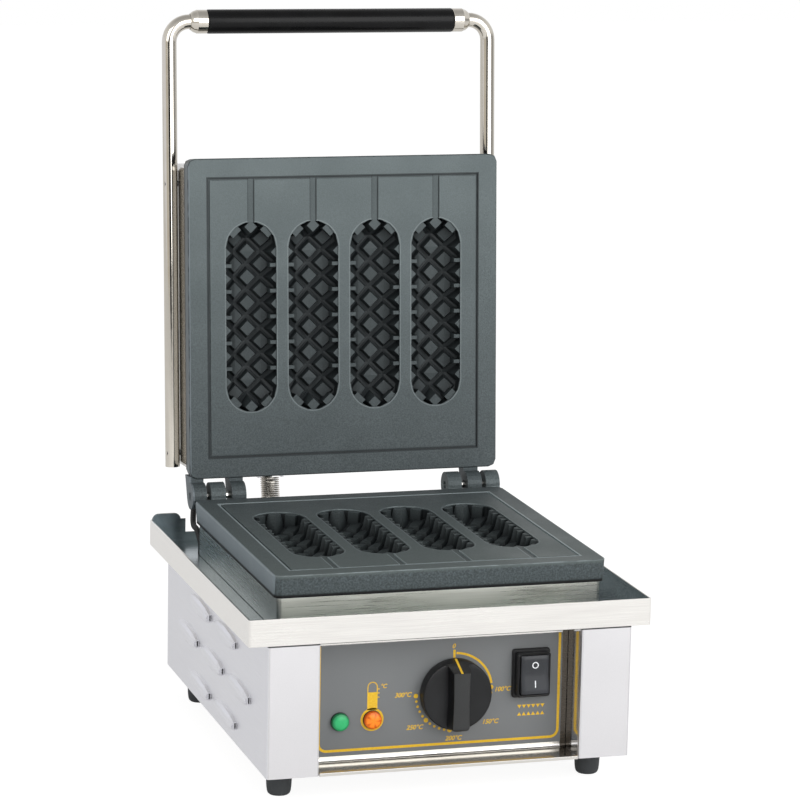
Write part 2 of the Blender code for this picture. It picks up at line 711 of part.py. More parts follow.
def groove_mesh(top):
    """A rectangular groove round the cavities, and a vent from each cavity to its front run."""
    bm = bmesh.new()
    x = PLATE_HALF - GROOVE_SIDE_MARGIN
    front = -PLATE_FRONT_REACH + GROOVE_FRONT_MARGIN
    rear = -REAR_EDGE_TO_HINGE - GROOVE_REAR_MARGIN
    floor, above = top - GROOVE_DEPTH, top + OVERRUN
    outer = [(-x, front), (x, front), (x, rear), (-x, rear)]
    inner = [(-x + GROOVE_WIDTH, front + GROOVE_WIDTH), (x - GROOVE_WIDTH, front + GROOVE_WIDTH),
             (x - GROOVE_WIDTH, rear - GROOVE_WIDTH), (-x + GROOVE_WIDTH, rear - GROOVE_WIDTH)]
    levels = {}
    for label, outline in (("outer", outer), ("inner", inner)):
        for level in (floor, above):
            levels[label, level] = [bm.verts.new((a, b, level)) for a, b in outline]
    for i in range(4):
        j = (i + 1) % 4
        for label in ("outer", "inner"):
            ring, over = levels[label, floor], levels[label, above]
            bm.faces.new((ring[i], ring[j], over[j], over[i]))
        for level in (floor, above):
            ring, other = levels["outer", level], levels["inner", level]
            bm.faces.new((ring[i], ring[j], other[j], other[i]))
    ring_object = add_cutter("groove_ring", bm, None)
    bm = bmesh.new()
    cavity_front = -CAVITY_MIDDLE - CAVITY_LENGTH / 2
    for index in range(CAVITY_COUNT):
        low = (cavity_x(index) - VENT_WIDTH / 2, front + GROOVE_WIDTH / 2, top - VENT_DEPTH)
        high = (cavity_x(index) + VENT_WIDTH / 2, cavity_front + OVERRUN, top + OVERRUN / 2)
        put_box(bm, low, high)
    boolean(ring_object, add_cutter("vents", bm, None), "UNION")
    joined = bmesh.new()
    joined.from_mesh(baked_mesh(ring_object))
    return joined


def add_plates():
    casting = casting_mesh()
    for name, parent, turn in (("lower_plate", BASE, 0), ("upper_plate", LID, math.pi)):
        obj = bpy.data.objects.new(name, casting)
        PARTS.objects.link(obj)
        obj.parent = parent
        obj.rotation_euler = (0, turn, 0)
        if parent is BASE:
            obj.location = (0, HINGE_Y, HINGE_Z)
    casting.shade_smooth()
    casting.set_sharp_from_angle(angle=math.radians(30))
    for side, name in ((-1, "hinge_pin_left"), (1, "hinge_pin_right")):
        bm = bmesh.new()
        inner, outer = side * (INNER_LUG_LOW + PIN_RECESS), side * (PLATE_HALF - PIN_RECESS)
        put_round(bm, (inner, HINGE_Y, HINGE_Z), (outer, HINGE_Y, HINGE_Z), HINGE_PIN_RADIUS, SMALL_ROUND)
        add_mesh(name, bm, CHROME, BASE)


# Heating: the same element, clamp and stand-offs serve both plates

def element_points():
    """A hairpin in the two outer valleys between the troughs, lying under the lower plate."""
    x = CAVITY_PITCH
    level = -ELEMENT_LEVEL
    start = -REAR_EDGE_TO_HINGE - STANDOFF_INSET
    front = -ELEMENT_CROSSING
    points = [(-x, start, level)]
    for centre, first in ((-x + ELEMENT_BEND, math.pi), (x - ELEMENT_BEND, 1.5 * math.pi)):
        for k in range(ELEMENT_BEND_STEPS + 1):
            angle = first + math.pi / 2 * k / ELEMENT_BEND_STEPS
            points.append((centre + ELEMENT_BEND * math.cos(angle),
                           front + ELEMENT_BEND + ELEMENT_BEND * math.sin(angle), level))
    points.append((x, start, level))
    return points


def standoff_places(half_width, rear, front):
    x = half_width - STANDOFF_INSET
    return [(sx * x, -reach) for sx in (-1, 1) for reach in (rear + STANDOFF_INSET, front - STANDOFF_INSET)]


def add_heating():
    clamp_top = -ELEMENT_LEVEL - ELEMENT_RADIUS - FIT_GAP
    clamp_half = CAVITY_PITCH + CLAMP_WIDTH
    for name, flip in (("lower", 1), ("upper", -1)):
        parent = BASE if flip == 1 else LID
        shift = Vector((0, HINGE_Y, HINGE_Z)) if flip == 1 else Vector((0, 0, 0))
        points = [Vector((x, y, z * flip)) + shift for x, y, z in element_points()]
        tube(f"{name}_element", points, ELEMENT_RADIUS, ELEMENT_STEEL, parent)
        bm = bmesh.new()
        levels = sorted((clamp_top * flip, (clamp_top - CLAMP_THICKNESS) * flip))
        put_box(bm, (-clamp_half, -CAVITY_MIDDLE - CLAMP_WIDTH / 2, levels[0]),
                (clamp_half, -CAVITY_MIDDLE + CLAMP_WIDTH / 2, levels[1]))
        bm.transform(Matrix.Translation(shift))
        add_mesh(f"{name}_element_clamp", bm, ELEMENT_STEEL, parent)


def add_plinth():
    """The steel box between tray and lower plate, with a flange turned in along its foot."""
    low, high = FLOOR_TOP + FIT_GAP, PLATE_UNDER_Z - FIT_GAP
    bm = bmesh.new()
    corners = (-PLINTH_HALF, PLINTH_FRONT), (PLINTH_HALF, PLINTH_REAR)
    outline = rounded_rectangle(*corners, BEND_RADIUS + SHEET, CORNER_STEPS)
    prism(bm, outline, low, high, along_z)
    plinth = add_mesh("plinth", bm, STAINLESS, BASE)
    bm = bmesh.new()
    inside = [[v + SHEET for v in corners[0]], [v - SHEET for v in corners[1]]]
    prism(bm, rounded_rectangle(*inside, BEND_RADIUS, CORNER_STEPS), low + SHEET, high + OVERRUN, along_z)
    boolean(plinth, add_cutter("plinth_inside", bm, BASE), "DIFFERENCE")
    bm = bmesh.new()
    put_box(bm, [*(v + PLINTH_FLANGE for v in corners[0]), low - OVERRUN],
            [*(v - PLINTH_FLANGE for v in corners[1]), low + 2 * SHEET])
    boolean(plinth, add_cutter("plinth_foot_opening", bm, BASE), "DIFFERENCE")

    places = standoff_places(PLINTH_HALF, HINGE_Y - PLINTH_REAR, HINGE_Y - PLINTH_FRONT)
    for corner, (x, y) in zip(CORNERS, places):
        bm = bmesh.new()
        put_round(bm, (x, y + HINGE_Y, low), (x, y + HINGE_Y, high), STANDOFF_RADIUS, SMALL_ROUND)
        add_mesh(f"lower_standoff_{corner}", bm, ELEMENT_STEEL, BASE)
    bm = bmesh.new()
    put_box(bm, (-PLINTH_HALF + INSULATION_INSET, PLINTH_FRONT + INSULATION_INSET, low),
            (PLINTH_HALF - INSULATION_INSET, PLINTH_REAR - INSULATION_INSET, low + LOWER_INSULATION_THICKNESS))
    add_mesh("lower_insulation", bm, MINERAL_BOARD, BASE, smooth=False)


# Tray

def lead_start():
    return Vector((-PLINTH_HALF + LEAD_SIDE_INSET / 2, PLINTH_REAR + LEAD_SIDE_INSET, FLOOR_UNDER))


def spring_ends():
    """The two anchor pins of the balance spring in the base frame."""
    turn = Matrix.Rotation(OPEN_TURN, 3, "X")
    lid = Vector((0, HINGE_Y, HINGE_Z)) + turn @ Vector((SPRING_X, -SPRING_LID_REACH, SPRING_LID_HEIGHT))
    return lid, Vector((SPRING_X, SPRING_BASE_BACK, SPRING_BASE_Z))


def add_tray():
    """Floor and four walls in one sheet; the rear wall is low between two raised ears."""
    half = TRAY_WIDTH / 2
    bm = bmesh.new()
    outer = rounded_rectangle((-half, 0), (half, TRAY_DEPTH), BEND_RADIUS, CORNER_STEPS)
    prism(bm, outer, FLOOR_UNDER, RIM_TOP, along_z)
    tray = add_mesh("top_tray", bm, STAINLESS, BASE)
    bm = bmesh.new()
    inner = rounded_rectangle((-half + SHEET, SHEET), (half - SHEET, TRAY_DEPTH - SHEET),
                              BEND_RADIUS / 2, CORNER_STEPS)
    prism(bm, inner, FLOOR_TOP, RIM_TOP + OVERRUN, along_z)
    boolean(tray, add_cutter("tray_inside", bm, BASE), "DIFFERENCE")

    bm = bmesh.new()
    low_half = half - EAR_WIDTH - EAR_FOOT_WIDTH
    put_box(bm, (-low_half, TRAY_DEPTH - 2 * SHEET, FLOOR_TOP + REAR_WALL_HEIGHT),
            (low_half, TRAY_DEPTH + OVERRUN, RIM_TOP + OVERRUN))
    boolean(tray, add_cutter("low_rear_wall", bm, BASE), "DIFFERENCE")
    for side in (-1, 1):
        bm = bmesh.new()
        sunk = RIM_TOP - 2 * EAR_RADIUS
        ear = rounded_rectangle((half - EAR_WIDTH - BEND_RADIUS, sunk - EAR_RADIUS),
                                (half - BEND_RADIUS, RIM_TOP + EAR_RISE), EAR_RADIUS, EAR_STEPS)
        skin = SHEET * EAR_SKIN_SHARE
        prism(bm, [(side * a, b) for a, b in ear], TRAY_DEPTH - SHEET + skin, TRAY_DEPTH - skin, along_y)
        boolean(tray, add_cutter(f"ear_{side}", bm, BASE), "UNION")

    bm = bmesh.new()
    put_round(bm, (0, PLINTH_REAR / 2, FLOOR_UNDER - OVERRUN), (0, PLINTH_REAR / 2, FLOOR_TOP + OVERRUN),
              WIRE_HOLE_RADIUS, SMALL_ROUND)
    start = lead_start()
    put_round(bm, (start.x, start.y, FLOOR_UNDER - OVERRUN), (start.x, start.y, FLOOR_TOP + OVERRUN),
              LEAD_RADIUS + FIT_GAP, SMALL_ROUND)
    lid_pin, base_pin = spring_ends()
    slot_half = SPRING_OUTER_RADIUS + SPRING_SLOT_MARGIN
    share = (lid_pin.z - FLOOR_TOP) / (lid_pin.z - base_pin.z)
    middle = lid_pin.y + (base_pin.y - lid_pin.y) * share
    put_box(bm, (SPRING_X - slot_half, middle - slot_half, FLOOR_UNDER - OVERRUN),
            (SPRING_X + slot_half, min(middle + slot_half, TRAY_DEPTH - 2 * SHEET), FLOOR_TOP + OVERRUN))
    boolean(tray, add_cutter("tray_holes", bm, BASE), "DIFFERENCE")


# Chassis

def put_louvre(bm, y_front, z, side):
    """One teardrop louvre: it swells from its rear tip and ends in a steep narrow front."""
    loops = []
    for along, height, bulge in LOUVRE_SHARES:
        half = LOUVRE_HEIGHT * height / 2
        turns = [math.pi * (k / LOUVRE_SIDES - 1 / 2) for k in range(LOUVRE_SIDES + 1)]
        arch = [(LOUVRE_BULGE * bulge * math.cos(t), half * math.sin(t)) for t in turns]
        y = y_front + LOUVRE_LENGTH * (1 - along)
        section = [(-SHEET / 2, -half), *arch, (-SHEET / 2, half)]
        loops.append([(side * (CHASSIS_HALF + a), y, z + b) for a, b in section])
    loft(bm, loops)


def put_louvre_mouth(bm, y_front, z, side):
    """The slit in a louvre's front, close to the wall, which runs back through the sheet."""
    half = LOUVRE_SLIT_HEIGHT / 2
    outer, inner, sill = CHASSIS_HALF + LOUVRE_SLIT, CHASSIS_HALF - 2 * SHEET, CHASSIS_HALF + SHEET / 4
    wedge = [(sill, y_front - OVERRUN), (outer, y_front - OVERRUN), (outer, y_front + SHEET),
             (inner, y_front + LOUVRE_SLIT_LENGTH), (inner, y_front + SHEET), (sill, y_front + SHEET / 2)]
    prism(bm, [(side * a, b) for a, b in wedge], z - half, z + half, along_z)


def louvre_places():
    middle = (CHASSIS_FRONT + CHASSIS_REAR) / 2 - LOUVRE_LENGTH / 2 + LOUVRE_SHIFT
    for row, count in ((-1, 2), (0, 3), (1, 2)):
        for k in range(count):
            yield middle + (k - (count - 1) / 2) * LOUVRE_PITCH, LOUVRE_MIDDLE_Z + row * LOUVRE_ROW_PITCH


def add_side_panel(side, name):
    """Side wall, front post and the return that frames the control recess, folded from one sheet."""
    path = [(POST_INNER, PANEL_FACE), (POST_INNER, CHASSIS_FRONT), (CHASSIS_HALF, CHASSIS_FRONT),
            (CHASSIS_HALF, CHASSIS_REAR)]
    outline = strip_outline(rounded_path([Vector(p) for p in path], BEND_RADIUS, CORNER_STEPS), SHEET)
    bm = bmesh.new()
    prism(bm, [(side * a, b) for a, b in outline], CHASSIS_BOTTOM, CHASSIS_TOP, along_z)
    panel = add_mesh(name, bm, STAINLESS, BASE)
    for label, put, operation in (("louvres", put_louvre, "UNION"), ("mouths", put_louvre_mouth, "DIFFERENCE")):
        bm = bmesh.new()
        for y, z in louvre_places():
            put(bm, y, z, side)
        boolean(panel, add_cutter(f"{name}_{label}", bm, BASE), operation)


def add_pan():
    """Bottom pan with a hemmed front lip and flanges turned up at the sides and rear."""
    inner = CHASSIS_HALF - SHEET - FIT_GAP
    front_half = POST_INNER - FIT_GAP
    behind_posts = PANEL_FACE + FIT_GAP
    rear = CHASSIS_REAR - FIT_GAP
    post_side = POST_INNER + SHEET + FIT_GAP
    post_front = CHASSIS_FRONT + SHEET + FIT_GAP
    right = [(front_half, CHASSIS_FRONT), (front_half, behind_posts), (post_side, behind_posts),
             (post_side, post_front), (inner, post_front), (inner, rear)]
    outline = right + [(-a, b) for a, b in reversed(right)]
    bm = bmesh.new()
    prism(bm, outline, CHASSIS_BOTTOM, PAN_TOP, along_z)
    pan = add_mesh("base_pan", bm, STAINLESS, BASE)
    flange_top = CHASSIS_BOTTOM + PAN_FLANGE
    front = behind_posts + FASCIA_FLANGE + 2 * FIT_GAP
    pieces = [((-front_half, CHASSIS_FRONT - SHEET / 4, CHASSIS_BOTTOM - FIT_GAP),
               (front_half, CHASSIS_FRONT + SHEET, CHASSIS_BOTTOM + PAN_LIP)),
              ((-inner, front, CHASSIS_BOTTOM + SHEET / 2), (-inner + SHEET, rear, flange_top)),
              ((inner - SHEET, front, CHASSIS_BOTTOM + SHEET / 2), (inner, rear, flange_top))]
    for index, (low, high) in enumerate(pieces):
        bm = bmesh.new()
        put_box(bm, low, high)
        boolean(pan, add_cutter(f"pan_edge_{index}", bm, BASE), "UNION")
    bm = bmesh.new()
    for x, y in foot_places():
        put_round(bm, (x, y, CHASSIS_BOTTOM - OVERRUN), (x, y, PAN_TOP + OVERRUN),
                  FOOT_SCREW_RADIUS + FIT_GAP, SMALL_ROUND)
    boolean(pan, add_cutter("pan_screw_holes", bm, BASE), "DIFFERENCE")


def add_rear_panel():
    """Rear sheet standing on the pan between the side walls, with a hole for the cable gland."""
    half = CHASSIS_HALF - SHEET - FIT_GAP
    low = PAN_TOP + FIT_GAP
    bm = bmesh.new()
    put_box(bm, (-half + SHEET + FIT_GAP, CHASSIS_REAR - SHEET, low),
            (half - SHEET - FIT_GAP, CHASSIS_REAR, CHASSIS_TOP - FIT_GAP))
    panel = add_mesh("rear_panel", bm, STAINLESS, BASE, smooth=False)
    bm = bmesh.new()
    put_round(bm, (GLAND_X, CHASSIS_REAR - 2 * SHEET, GLAND_Z), (GLAND_X, CHASSIS_REAR + SHEET, GLAND_Z),
              GLAND_BODY_RADIUS, LAMP_SIDES)
    boolean(panel, add_cutter("gland_hole", bm, BASE), "DIFFERENCE")


def foot_places():
    x = CHASSIS_HALF - FOOT_SIDE_INSET
    front, rear = CHASSIS_FRONT + FOOT_FRONT_INSET, CHASSIS_REAR - FOOT_REAR_INSET
    return [(-x, rear), (-x, front), (x, rear), (x, front)]


def add_feet():
    top = FOOT_HEIGHT - FIT_GAP
    bore = FOOT_SCREW_RADIUS + FIT_GAP
    recess = FOOT_HEIGHT / 3
    head = FOOT_SCREW_HEAD + FIT_GAP
    edge = [(FOOT_BOTTOM_RADIUS - FOOT_EDGE_RADIUS * (1 - math.cos(a)), FOOT_EDGE_RADIUS * (1 - math.sin(a)))
            for a in (0, math.pi / 4, math.pi / 2)]
    profile = [(bore, top), (FOOT_TOP_RADIUS, top), *edge, (head, 0), (head, recess), (bore, recess), (bore, top)]
    seat = recess - FIT_GAP
    screw = [(0, PAN_TOP + FOOT_SCREW_RADIUS), (FOOT_SCREW_RADIUS, PAN_TOP + FOOT_SCREW_RADIUS),
             (FOOT_SCREW_RADIUS, seat), (FOOT_SCREW_HEAD, seat), (FOOT_SCREW_HEAD, seat - FOOT_SCREW_RADIUS),
             (0, seat - FOOT_SCREW_RADIUS)]
    for corner, (x, y) in zip(CORNERS, foot_places()):
        place = Matrix.Translation((x, y, 0))
        turned(f"foot_{corner}", profile, RUBBER, BASE, place, FOOT_SIDES)
        turned(f"foot_screw_{corner}", screw, ELEMENT_STEEL, BASE, place, SCREW_SIDES)


# Control panel

def add_fascia():
    half = POST_INNER - FIT_GAP
    low = PAN_TOP + FIT_GAP
    high = CHASSIS_TOP - FIT_GAP - SHEET
    bend = CHASSIS_TOP - FASCIA_TOP_DROP
    back = PANEL_FACE + SHEET
    bm = bmesh.new()
    profile = [(PANEL_FACE + FASCIA_FLANGE, low), (PANEL_FACE, low), (PANEL_FACE, bend),
               (PANEL_FACE - FASCIA_FLANGE / 2, high)]
    path = rounded_path([Vector(p) for p in profile], BEND_RADIUS / 2, CORNER_STEPS)
    outline = strip_outline(list(reversed(path)), SHEET)
    prism(bm, outline, -half, half, along_x)
    fascia = add_mesh("control_fascia", bm, CHROME, BASE)

    bm = bmesh.new()
    overlay_low = low + OVERLAY_BOTTOM_MARGIN
    put_box(bm, (-half + OVERLAY_SIDE_MARGIN, PANEL_FACE - FIT_GAP - OVERLAY_THICKNESS, overlay_low),
            (half - OVERLAY_SIDE_MARGIN, PANEL_FACE - FIT_GAP, bend - SHEET))
    overlay = add_mesh("control_overlay", bm, PANEL_GREY, BASE, smooth=False)

    bm = bmesh.new()
    near, far = PANEL_FACE - OVERRUN - OVERLAY_THICKNESS, back + OVERRUN
    put_round(bm, (KNOB_X, near, KNOB_Z), (KNOB_X, far, KNOB_Z), BUSH_RADIUS + FIT_GAP, SMALL_ROUND)
    for x in (GREEN_LAMP_X, ORANGE_LAMP_X):
        put_round(bm, (x, near, LAMP_Z), (x, far, LAMP_Z), LAMP_BODY_RADIUS + FIT_GAP, SMALL_ROUND)
    w = BEZEL_WIDTH / 2 - SWITCH_BODY_INSET + FIT_GAP
    h = BEZEL_HEIGHT / 2 - SWITCH_BODY_INSET + FIT_GAP
    put_box(bm, (ROCKER_X - w, near, ROCKER_Z - h), (ROCKER_X + w, far, ROCKER_Z + h))
    holes = add_cutter("panel_holes", bm, BASE)
    boolean(fascia, holes, "DIFFERENCE")
    boolean(overlay, holes, "DIFFERENCE")


def add_thermostat():
    back = PANEL_FACE + SHEET + FIT_GAP
    bm = bmesh.new()
    w, h = THERMOSTAT_WIDTH / 2, THERMOSTAT_HEIGHT / 2
    put_box(bm, (KNOB_X - w, back, KNOB_Z - h), (KNOB_X + w, back + THERMOSTAT_DEPTH, KNOB_Z + h))
    body = add_mesh("thermostat", bm, CERAMIC, BASE, smooth=False)
    bm = bmesh.new()
    put_round(bm, (KNOB_X, back - BUSH_LENGTH, KNOB_Z), (KNOB_X, back + FIT_GAP, KNOB_Z), BUSH_RADIUS, SMALL_ROUND)
    boolean(body, add_cutter("thermostat_bush", bm, BASE), "UNION")
    bm = bmesh.new()
    shaft_back = back + SHAFT_ENGAGEMENT
    put_round(bm, (KNOB_X, back - BUSH_LENGTH - OVERRUN, KNOB_Z), (KNOB_X, shaft_back + FIT_GAP, KNOB_Z),
              SHAFT_RADIUS + SHAFT_CLEARANCE, SMALL_ROUND)
    boolean(body, add_cutter("thermostat_bore", bm, BASE), "DIFFERENCE")

    # The shaft turns with the knob, so both are placed from the knob's own frame
    front_face = -(OVERLAY_THICKNESS + 2 * FIT_GAP + SKIRT_GAP)
    shaft_front = front_face - SHAFT_ENGAGEMENT
    bm = bmesh.new()
    put_round(bm, (0, shaft_front, 0), (0, shaft_back - PANEL_FACE, 0), SHAFT_RADIUS, SMALL_ROUND)
    add_mesh("thermostat_shaft", bm, CHROME, KNOB)

    socket = SHAFT_RADIUS + FIT_GAP
    depth = SHAFT_ENGAGEMENT + FIT_GAP
    profile = [(0, SKIRT_HEIGHT), (SKIRT_RADIUS - SKIRT_EDGE, SKIRT_HEIGHT),
               (SKIRT_RADIUS - SKIRT_EDGE / 4, SKIRT_HEIGHT - SKIRT_EDGE), (SKIRT_RADIUS, 0), (0, 0)]
    facing = Matrix.Translation((0, front_face, 0)) @ Matrix.Rotation(math.pi / 2, 4, "X")
    knob = turned("thermostat_knob", profile, BLACK_PLASTIC, KNOB, facing, KNOB_SIDES)
    bm = bmesh.new()
    half_length, half_width = SKIRT_RADIUS - SKIRT_EDGE / 2, RIDGE_WIDTH / 2
    start = SKIRT_HEIGHT / 2
    side_view = [(-half_length, start), (half_length, start), (half_length, RIDGE_HEIGHT),
                 (RIDGE_EDGE - half_length, RIDGE_HEIGHT), (-half_length, RIDGE_HEIGHT - RIDGE_EDGE)]
    prism(bm, [(-z, a) for a, z in side_view], -half_width, half_width, along_x)
    bm.transform(Matrix.Translation((0, front_face, 0)))
    boolean(knob, add_cutter("knob_ridge", bm, KNOB), "UNION")
    # A flat facet for the pointer line leans from the rim's back edge to the top of the ridge
    lean = POINTER_SLOPE / (RIDGE_HEIGHT - SKIRT_EDGE)
    wedge = [(level, SKIRT_RADIUS - lean * (level - SKIRT_EDGE)) for level in (0, 2 * RIDGE_HEIGHT)]
    wedge += [(2 * RIDGE_HEIGHT, 2 * SKIRT_RADIUS), (0, 2 * SKIRT_RADIUS)]
    bm = bmesh.new()
    prism(bm, [(front_face - level, height) for level, height in wedge], -SKIRT_RADIUS, SKIRT_RADIUS, along_x)
    boolean(knob, add_cutter("knob_facet", bm, KNOB), "DIFFERENCE")
    bm = bmesh.new()
    put_round(bm, (0, shaft_front - FIT_GAP, 0), (0, front_face + OVERRUN, 0), SHAFT_RADIUS + FIT_GAP, SMALL_ROUND)
    boolean(knob, add_cutter("knob_socket", bm, KNOB), "DIFFERENCE")


def add_switch():
    """A rocker switch: flange, raised collar and body in one housing, with the paddle in the collar."""
    face = PANEL_FACE - OVERLAY_THICKNESS - 2 * FIT_GAP
    w, h = BEZEL_WIDTH / 2, BEZEL_HEIGHT / 2
    bm = bmesh.new()
    outline = rounded_rectangle((ROCKER_X - w, ROCKER_Z - h), (ROCKER_X + w, ROCKER_Z + h),
                                COLLAR_WALL_INSET, CORNER_STEPS)
    prism(bm, outline, face, face - BEZEL_THICKNESS, along_y)
    housing = add_mesh("switch_housing", bm, BLACK_PLASTIC, BASE)
    bm = bmesh.new()
    wc, hc = w - COLLAR_WALL_INSET, h - COLLAR_WALL_INSET
    outline = rounded_rectangle((ROCKER_X - wc, ROCKER_Z - hc), (ROCKER_X + wc, ROCKER_Z + hc),
                                COLLAR_WALL_INSET, CORNER_STEPS)
    prism(bm, outline, face - BEZEL_THICKNESS / 2, face - COLLAR_HEIGHT, along_y)
    boolean(housing, add_cutter("switch_collar", bm, BASE), "UNION")
    bm = bmesh.new()
    wb, hb = w - SWITCH_BODY_INSET, h - SWITCH_BODY_INSET
    put_box(bm, (ROCKER_X - wb, face - BEZEL_THICKNESS / 2, ROCKER_Z - hb),
            (ROCKER_X + wb, face + SWITCH_BODY_DEPTH, ROCKER_Z + hb))
    boolean(housing, add_cutter("switch_body", bm, BASE), "UNION")
    bm = bmesh.new()
    wp, hp = ROCKER_WIDTH / 2 + ROCKER_GAP, ROCKER_HEIGHT / 2 + ROCKER_GAP
    put_box(bm, (ROCKER_X - wp, face - COLLAR_HEIGHT - OVERRUN, ROCKER_Z - hp),
            (ROCKER_X + wp, face + ROCKER_REACH / 2, ROCKER_Z + hp))
    boolean(housing, add_cutter("switch_well", bm, BASE), "DIFFERENCE")

    # The paddle pivots behind the panel face; at rest its upper half is pressed in
    half_width, half_height = ROCKER_WIDTH / 2, ROCKER_HEIGHT / 2
    front = face - PANEL_FACE - ROCKER_REACH
    back = 0.0
    shoulder = half_height - ROCKER_GAP
    neck = half_height / 2
    outline = [(front, -half_height), (front + ROCKER_DISH, 0), (front, half_height),
               (front + ROCKER_REACH / 2, shoulder), (back, neck), (back, -neck),
               (front + ROCKER_REACH / 2, -shoulder)]
    bm = bmesh.new()
    prism(bm, outline, -half_width, half_width, along_x)
    bm.transform(Matrix.Rotation(-ROCKER_REST_TILT, 4, "X"))
    add_mesh("switch_rocker", bm, BLACK_PLASTIC, ROCKER, smooth=False)


def add_lamps():
    face = PANEL_FACE - OVERLAY_THICKNESS - 2 * FIT_GAP
    facing = Matrix.Rotation(math.pi / 2, 4, "X")
    collar = [(0, LAMP_COLLAR_HEIGHT), (LAMP_COLLAR_RADIUS, LAMP_COLLAR_HEIGHT), (LAMP_COLLAR_RADIUS, 0),
              (LAMP_BODY_RADIUS, 0), (LAMP_BODY_RADIUS, -LAMP_BODY_DEPTH), (0, -LAMP_BODY_DEPTH)]
    low = LAMP_COLLAR_HEIGHT + FIT_GAP
    dome = [(LENS_RADIUS * math.sin(a), low + LENS_SIDE + LENS_DOME * math.cos(a))
            for a in (0, math.pi / 6, math.pi / 3, math.pi / 2)]
    lens = [*dome, (LENS_RADIUS, low), (0, low)]
    for colour, x, mat in (("green", GREEN_LAMP_X, GREEN_LENS), ("orange", ORANGE_LAMP_X, ORANGE_LENS)):
        place = Matrix.Translation((x, face, LAMP_Z)) @ facing
        turned(f"{colour}_lamp_body", collar, BLACK_PLASTIC, BASE, place, LAMP_SIDES)
        turned(f"{colour}_lamp_lens", lens, mat, BASE, place, LAMP_SIDES)


# Wiring, spring and anchors

def add_wiring():
    bm = bmesh.new()
    y = (CHASSIS_REAR + PANEL_FACE) / 2
    put_box(bm, (GLAND_X - TERMINAL_WIDTH / 2, y - TERMINAL_LENGTH / 2, PAN_TOP + FIT_GAP),
            (GLAND_X + TERMINAL_WIDTH / 2, y + TERMINAL_LENGTH / 2, PAN_TOP + FIT_GAP + TERMINAL_HEIGHT))
    add_mesh("terminal_block", bm, CERAMIC, BASE, smooth=False)

    outside = FIT_GAP + GLAND_REACH
    nut = FIT_GAP + GLAND_REACH / 4
    inside = -(SHEET + FIT_GAP + GLAND_REACH / 3)
    body = GLAND_BODY_RADIUS - FIT_GAP
    profile = [(GLAND_BORE_RADIUS, outside), (body * GLAND_TIP_SHARE, outside), (body, outside - body / 3),
               (body, nut), (GLAND_NUT_RADIUS, nut), (GLAND_NUT_RADIUS, FIT_GAP), (body, FIT_GAP),
               (body, inside), (GLAND_BORE_RADIUS, inside), (GLAND_BORE_RADIUS, outside)]
    facing = Matrix.Translation((GLAND_X, CHASSIS_REAR, GLAND_Z)) @ Matrix.Rotation(-math.pi / 2, 4, "X")
    turned("cable_gland", profile, BLACK_PLASTIC, BASE, facing, LAMP_SIDES)

    # The sleeved lead from the base to the lid's element, slack at the rear left corner
    start = lead_start()
    turn = Matrix.Rotation(OPEN_TURN, 3, "X")
    end_x = start.x + 4 * LEAD_RADIUS
    hinge = Vector((0, HINGE_Y, HINGE_Z))
    end = hinge + turn @ Vector((end_x, -CASING_REAR + FIT_GAP, LEAD_LID_HEIGHT))
    before = hinge + turn @ Vector((end_x, -CASING_REAR + 5 * LEAD_RADIUS, LEAD_LID_HEIGHT))
    rise = FLOOR_TOP - FLOOR_UNDER + 3 * LEAD_RADIUS
    lift = HINGE_BACK - LEAD_SIDE_INSET
    low, high = (rise * share for share in LEAD_LIFT_SHARES)
    route = [start, start + Vector((0, 0, rise)), start + Vector((0, lift / 2, low)),
             start + Vector((0, lift + LEAD_RADIUS, high)), before]
    tube("lid_lead_sleeve", [*smooth_route(route, LEAD_POINTS), end], LEAD_RADIUS, SLEEVE, BASE)


def anchor(name, mat, parent, pin, foot_low, foot_high):
    """A cross pin between two ears; foot_low and foot_high bound the ears in Y and Z."""
    half = ANCHOR_WIDTH / 2
    bm = bmesh.new()
    put_round(bm, (pin[0] - half + ANCHOR_EAR_THICKNESS / 2, pin[1], pin[2]),
              (pin[0] + half - ANCHOR_EAR_THICKNESS / 2, pin[1], pin[2]), ANCHOR_PIN_RADIUS, SMALL_ROUND)
    obj = add_mesh(name, bm, mat, parent)
    boxes = [((pin[0] - half, *foot_low[:2]), (pin[0] - half + ANCHOR_EAR_THICKNESS, *foot_high[:2])),
             ((pin[0] + half - ANCHOR_EAR_THICKNESS, *foot_low[:2]), (pin[0] + half, *foot_high[:2]))]
    for index, (low, high) in enumerate(boxes):
        bm = bmesh.new()
        put_box(bm, low, high)
        boolean(obj, add_cutter(f"{name}_ear_{index}", bm, parent), "UNION")
    return obj


def add_anchors():
    reach = ANCHOR_EAR_HALF
    pin = (SPRING_X, -SPRING_LID_REACH, SPRING_LID_HEIGHT)
    bracket = anchor("lid_spring_bracket", STAINLESS, LID, pin, (-CASING_REAR + FIT_GAP, pin[2] - reach),
                     (pin[1] + ANCHOR_PIN_RADIUS + SHEET, pin[2] + reach))
    pin = (SPRING_X, SPRING_BASE_BACK, SPRING_BASE_Z)
    anchor("base_spring_bracket", STAINLESS, BASE, pin, (pin[1] - reach, PAN_TOP + FIT_GAP),
           (pin[1] + reach, pin[2] + ANCHOR_PIN_RADIUS + SHEET))
    return bracket


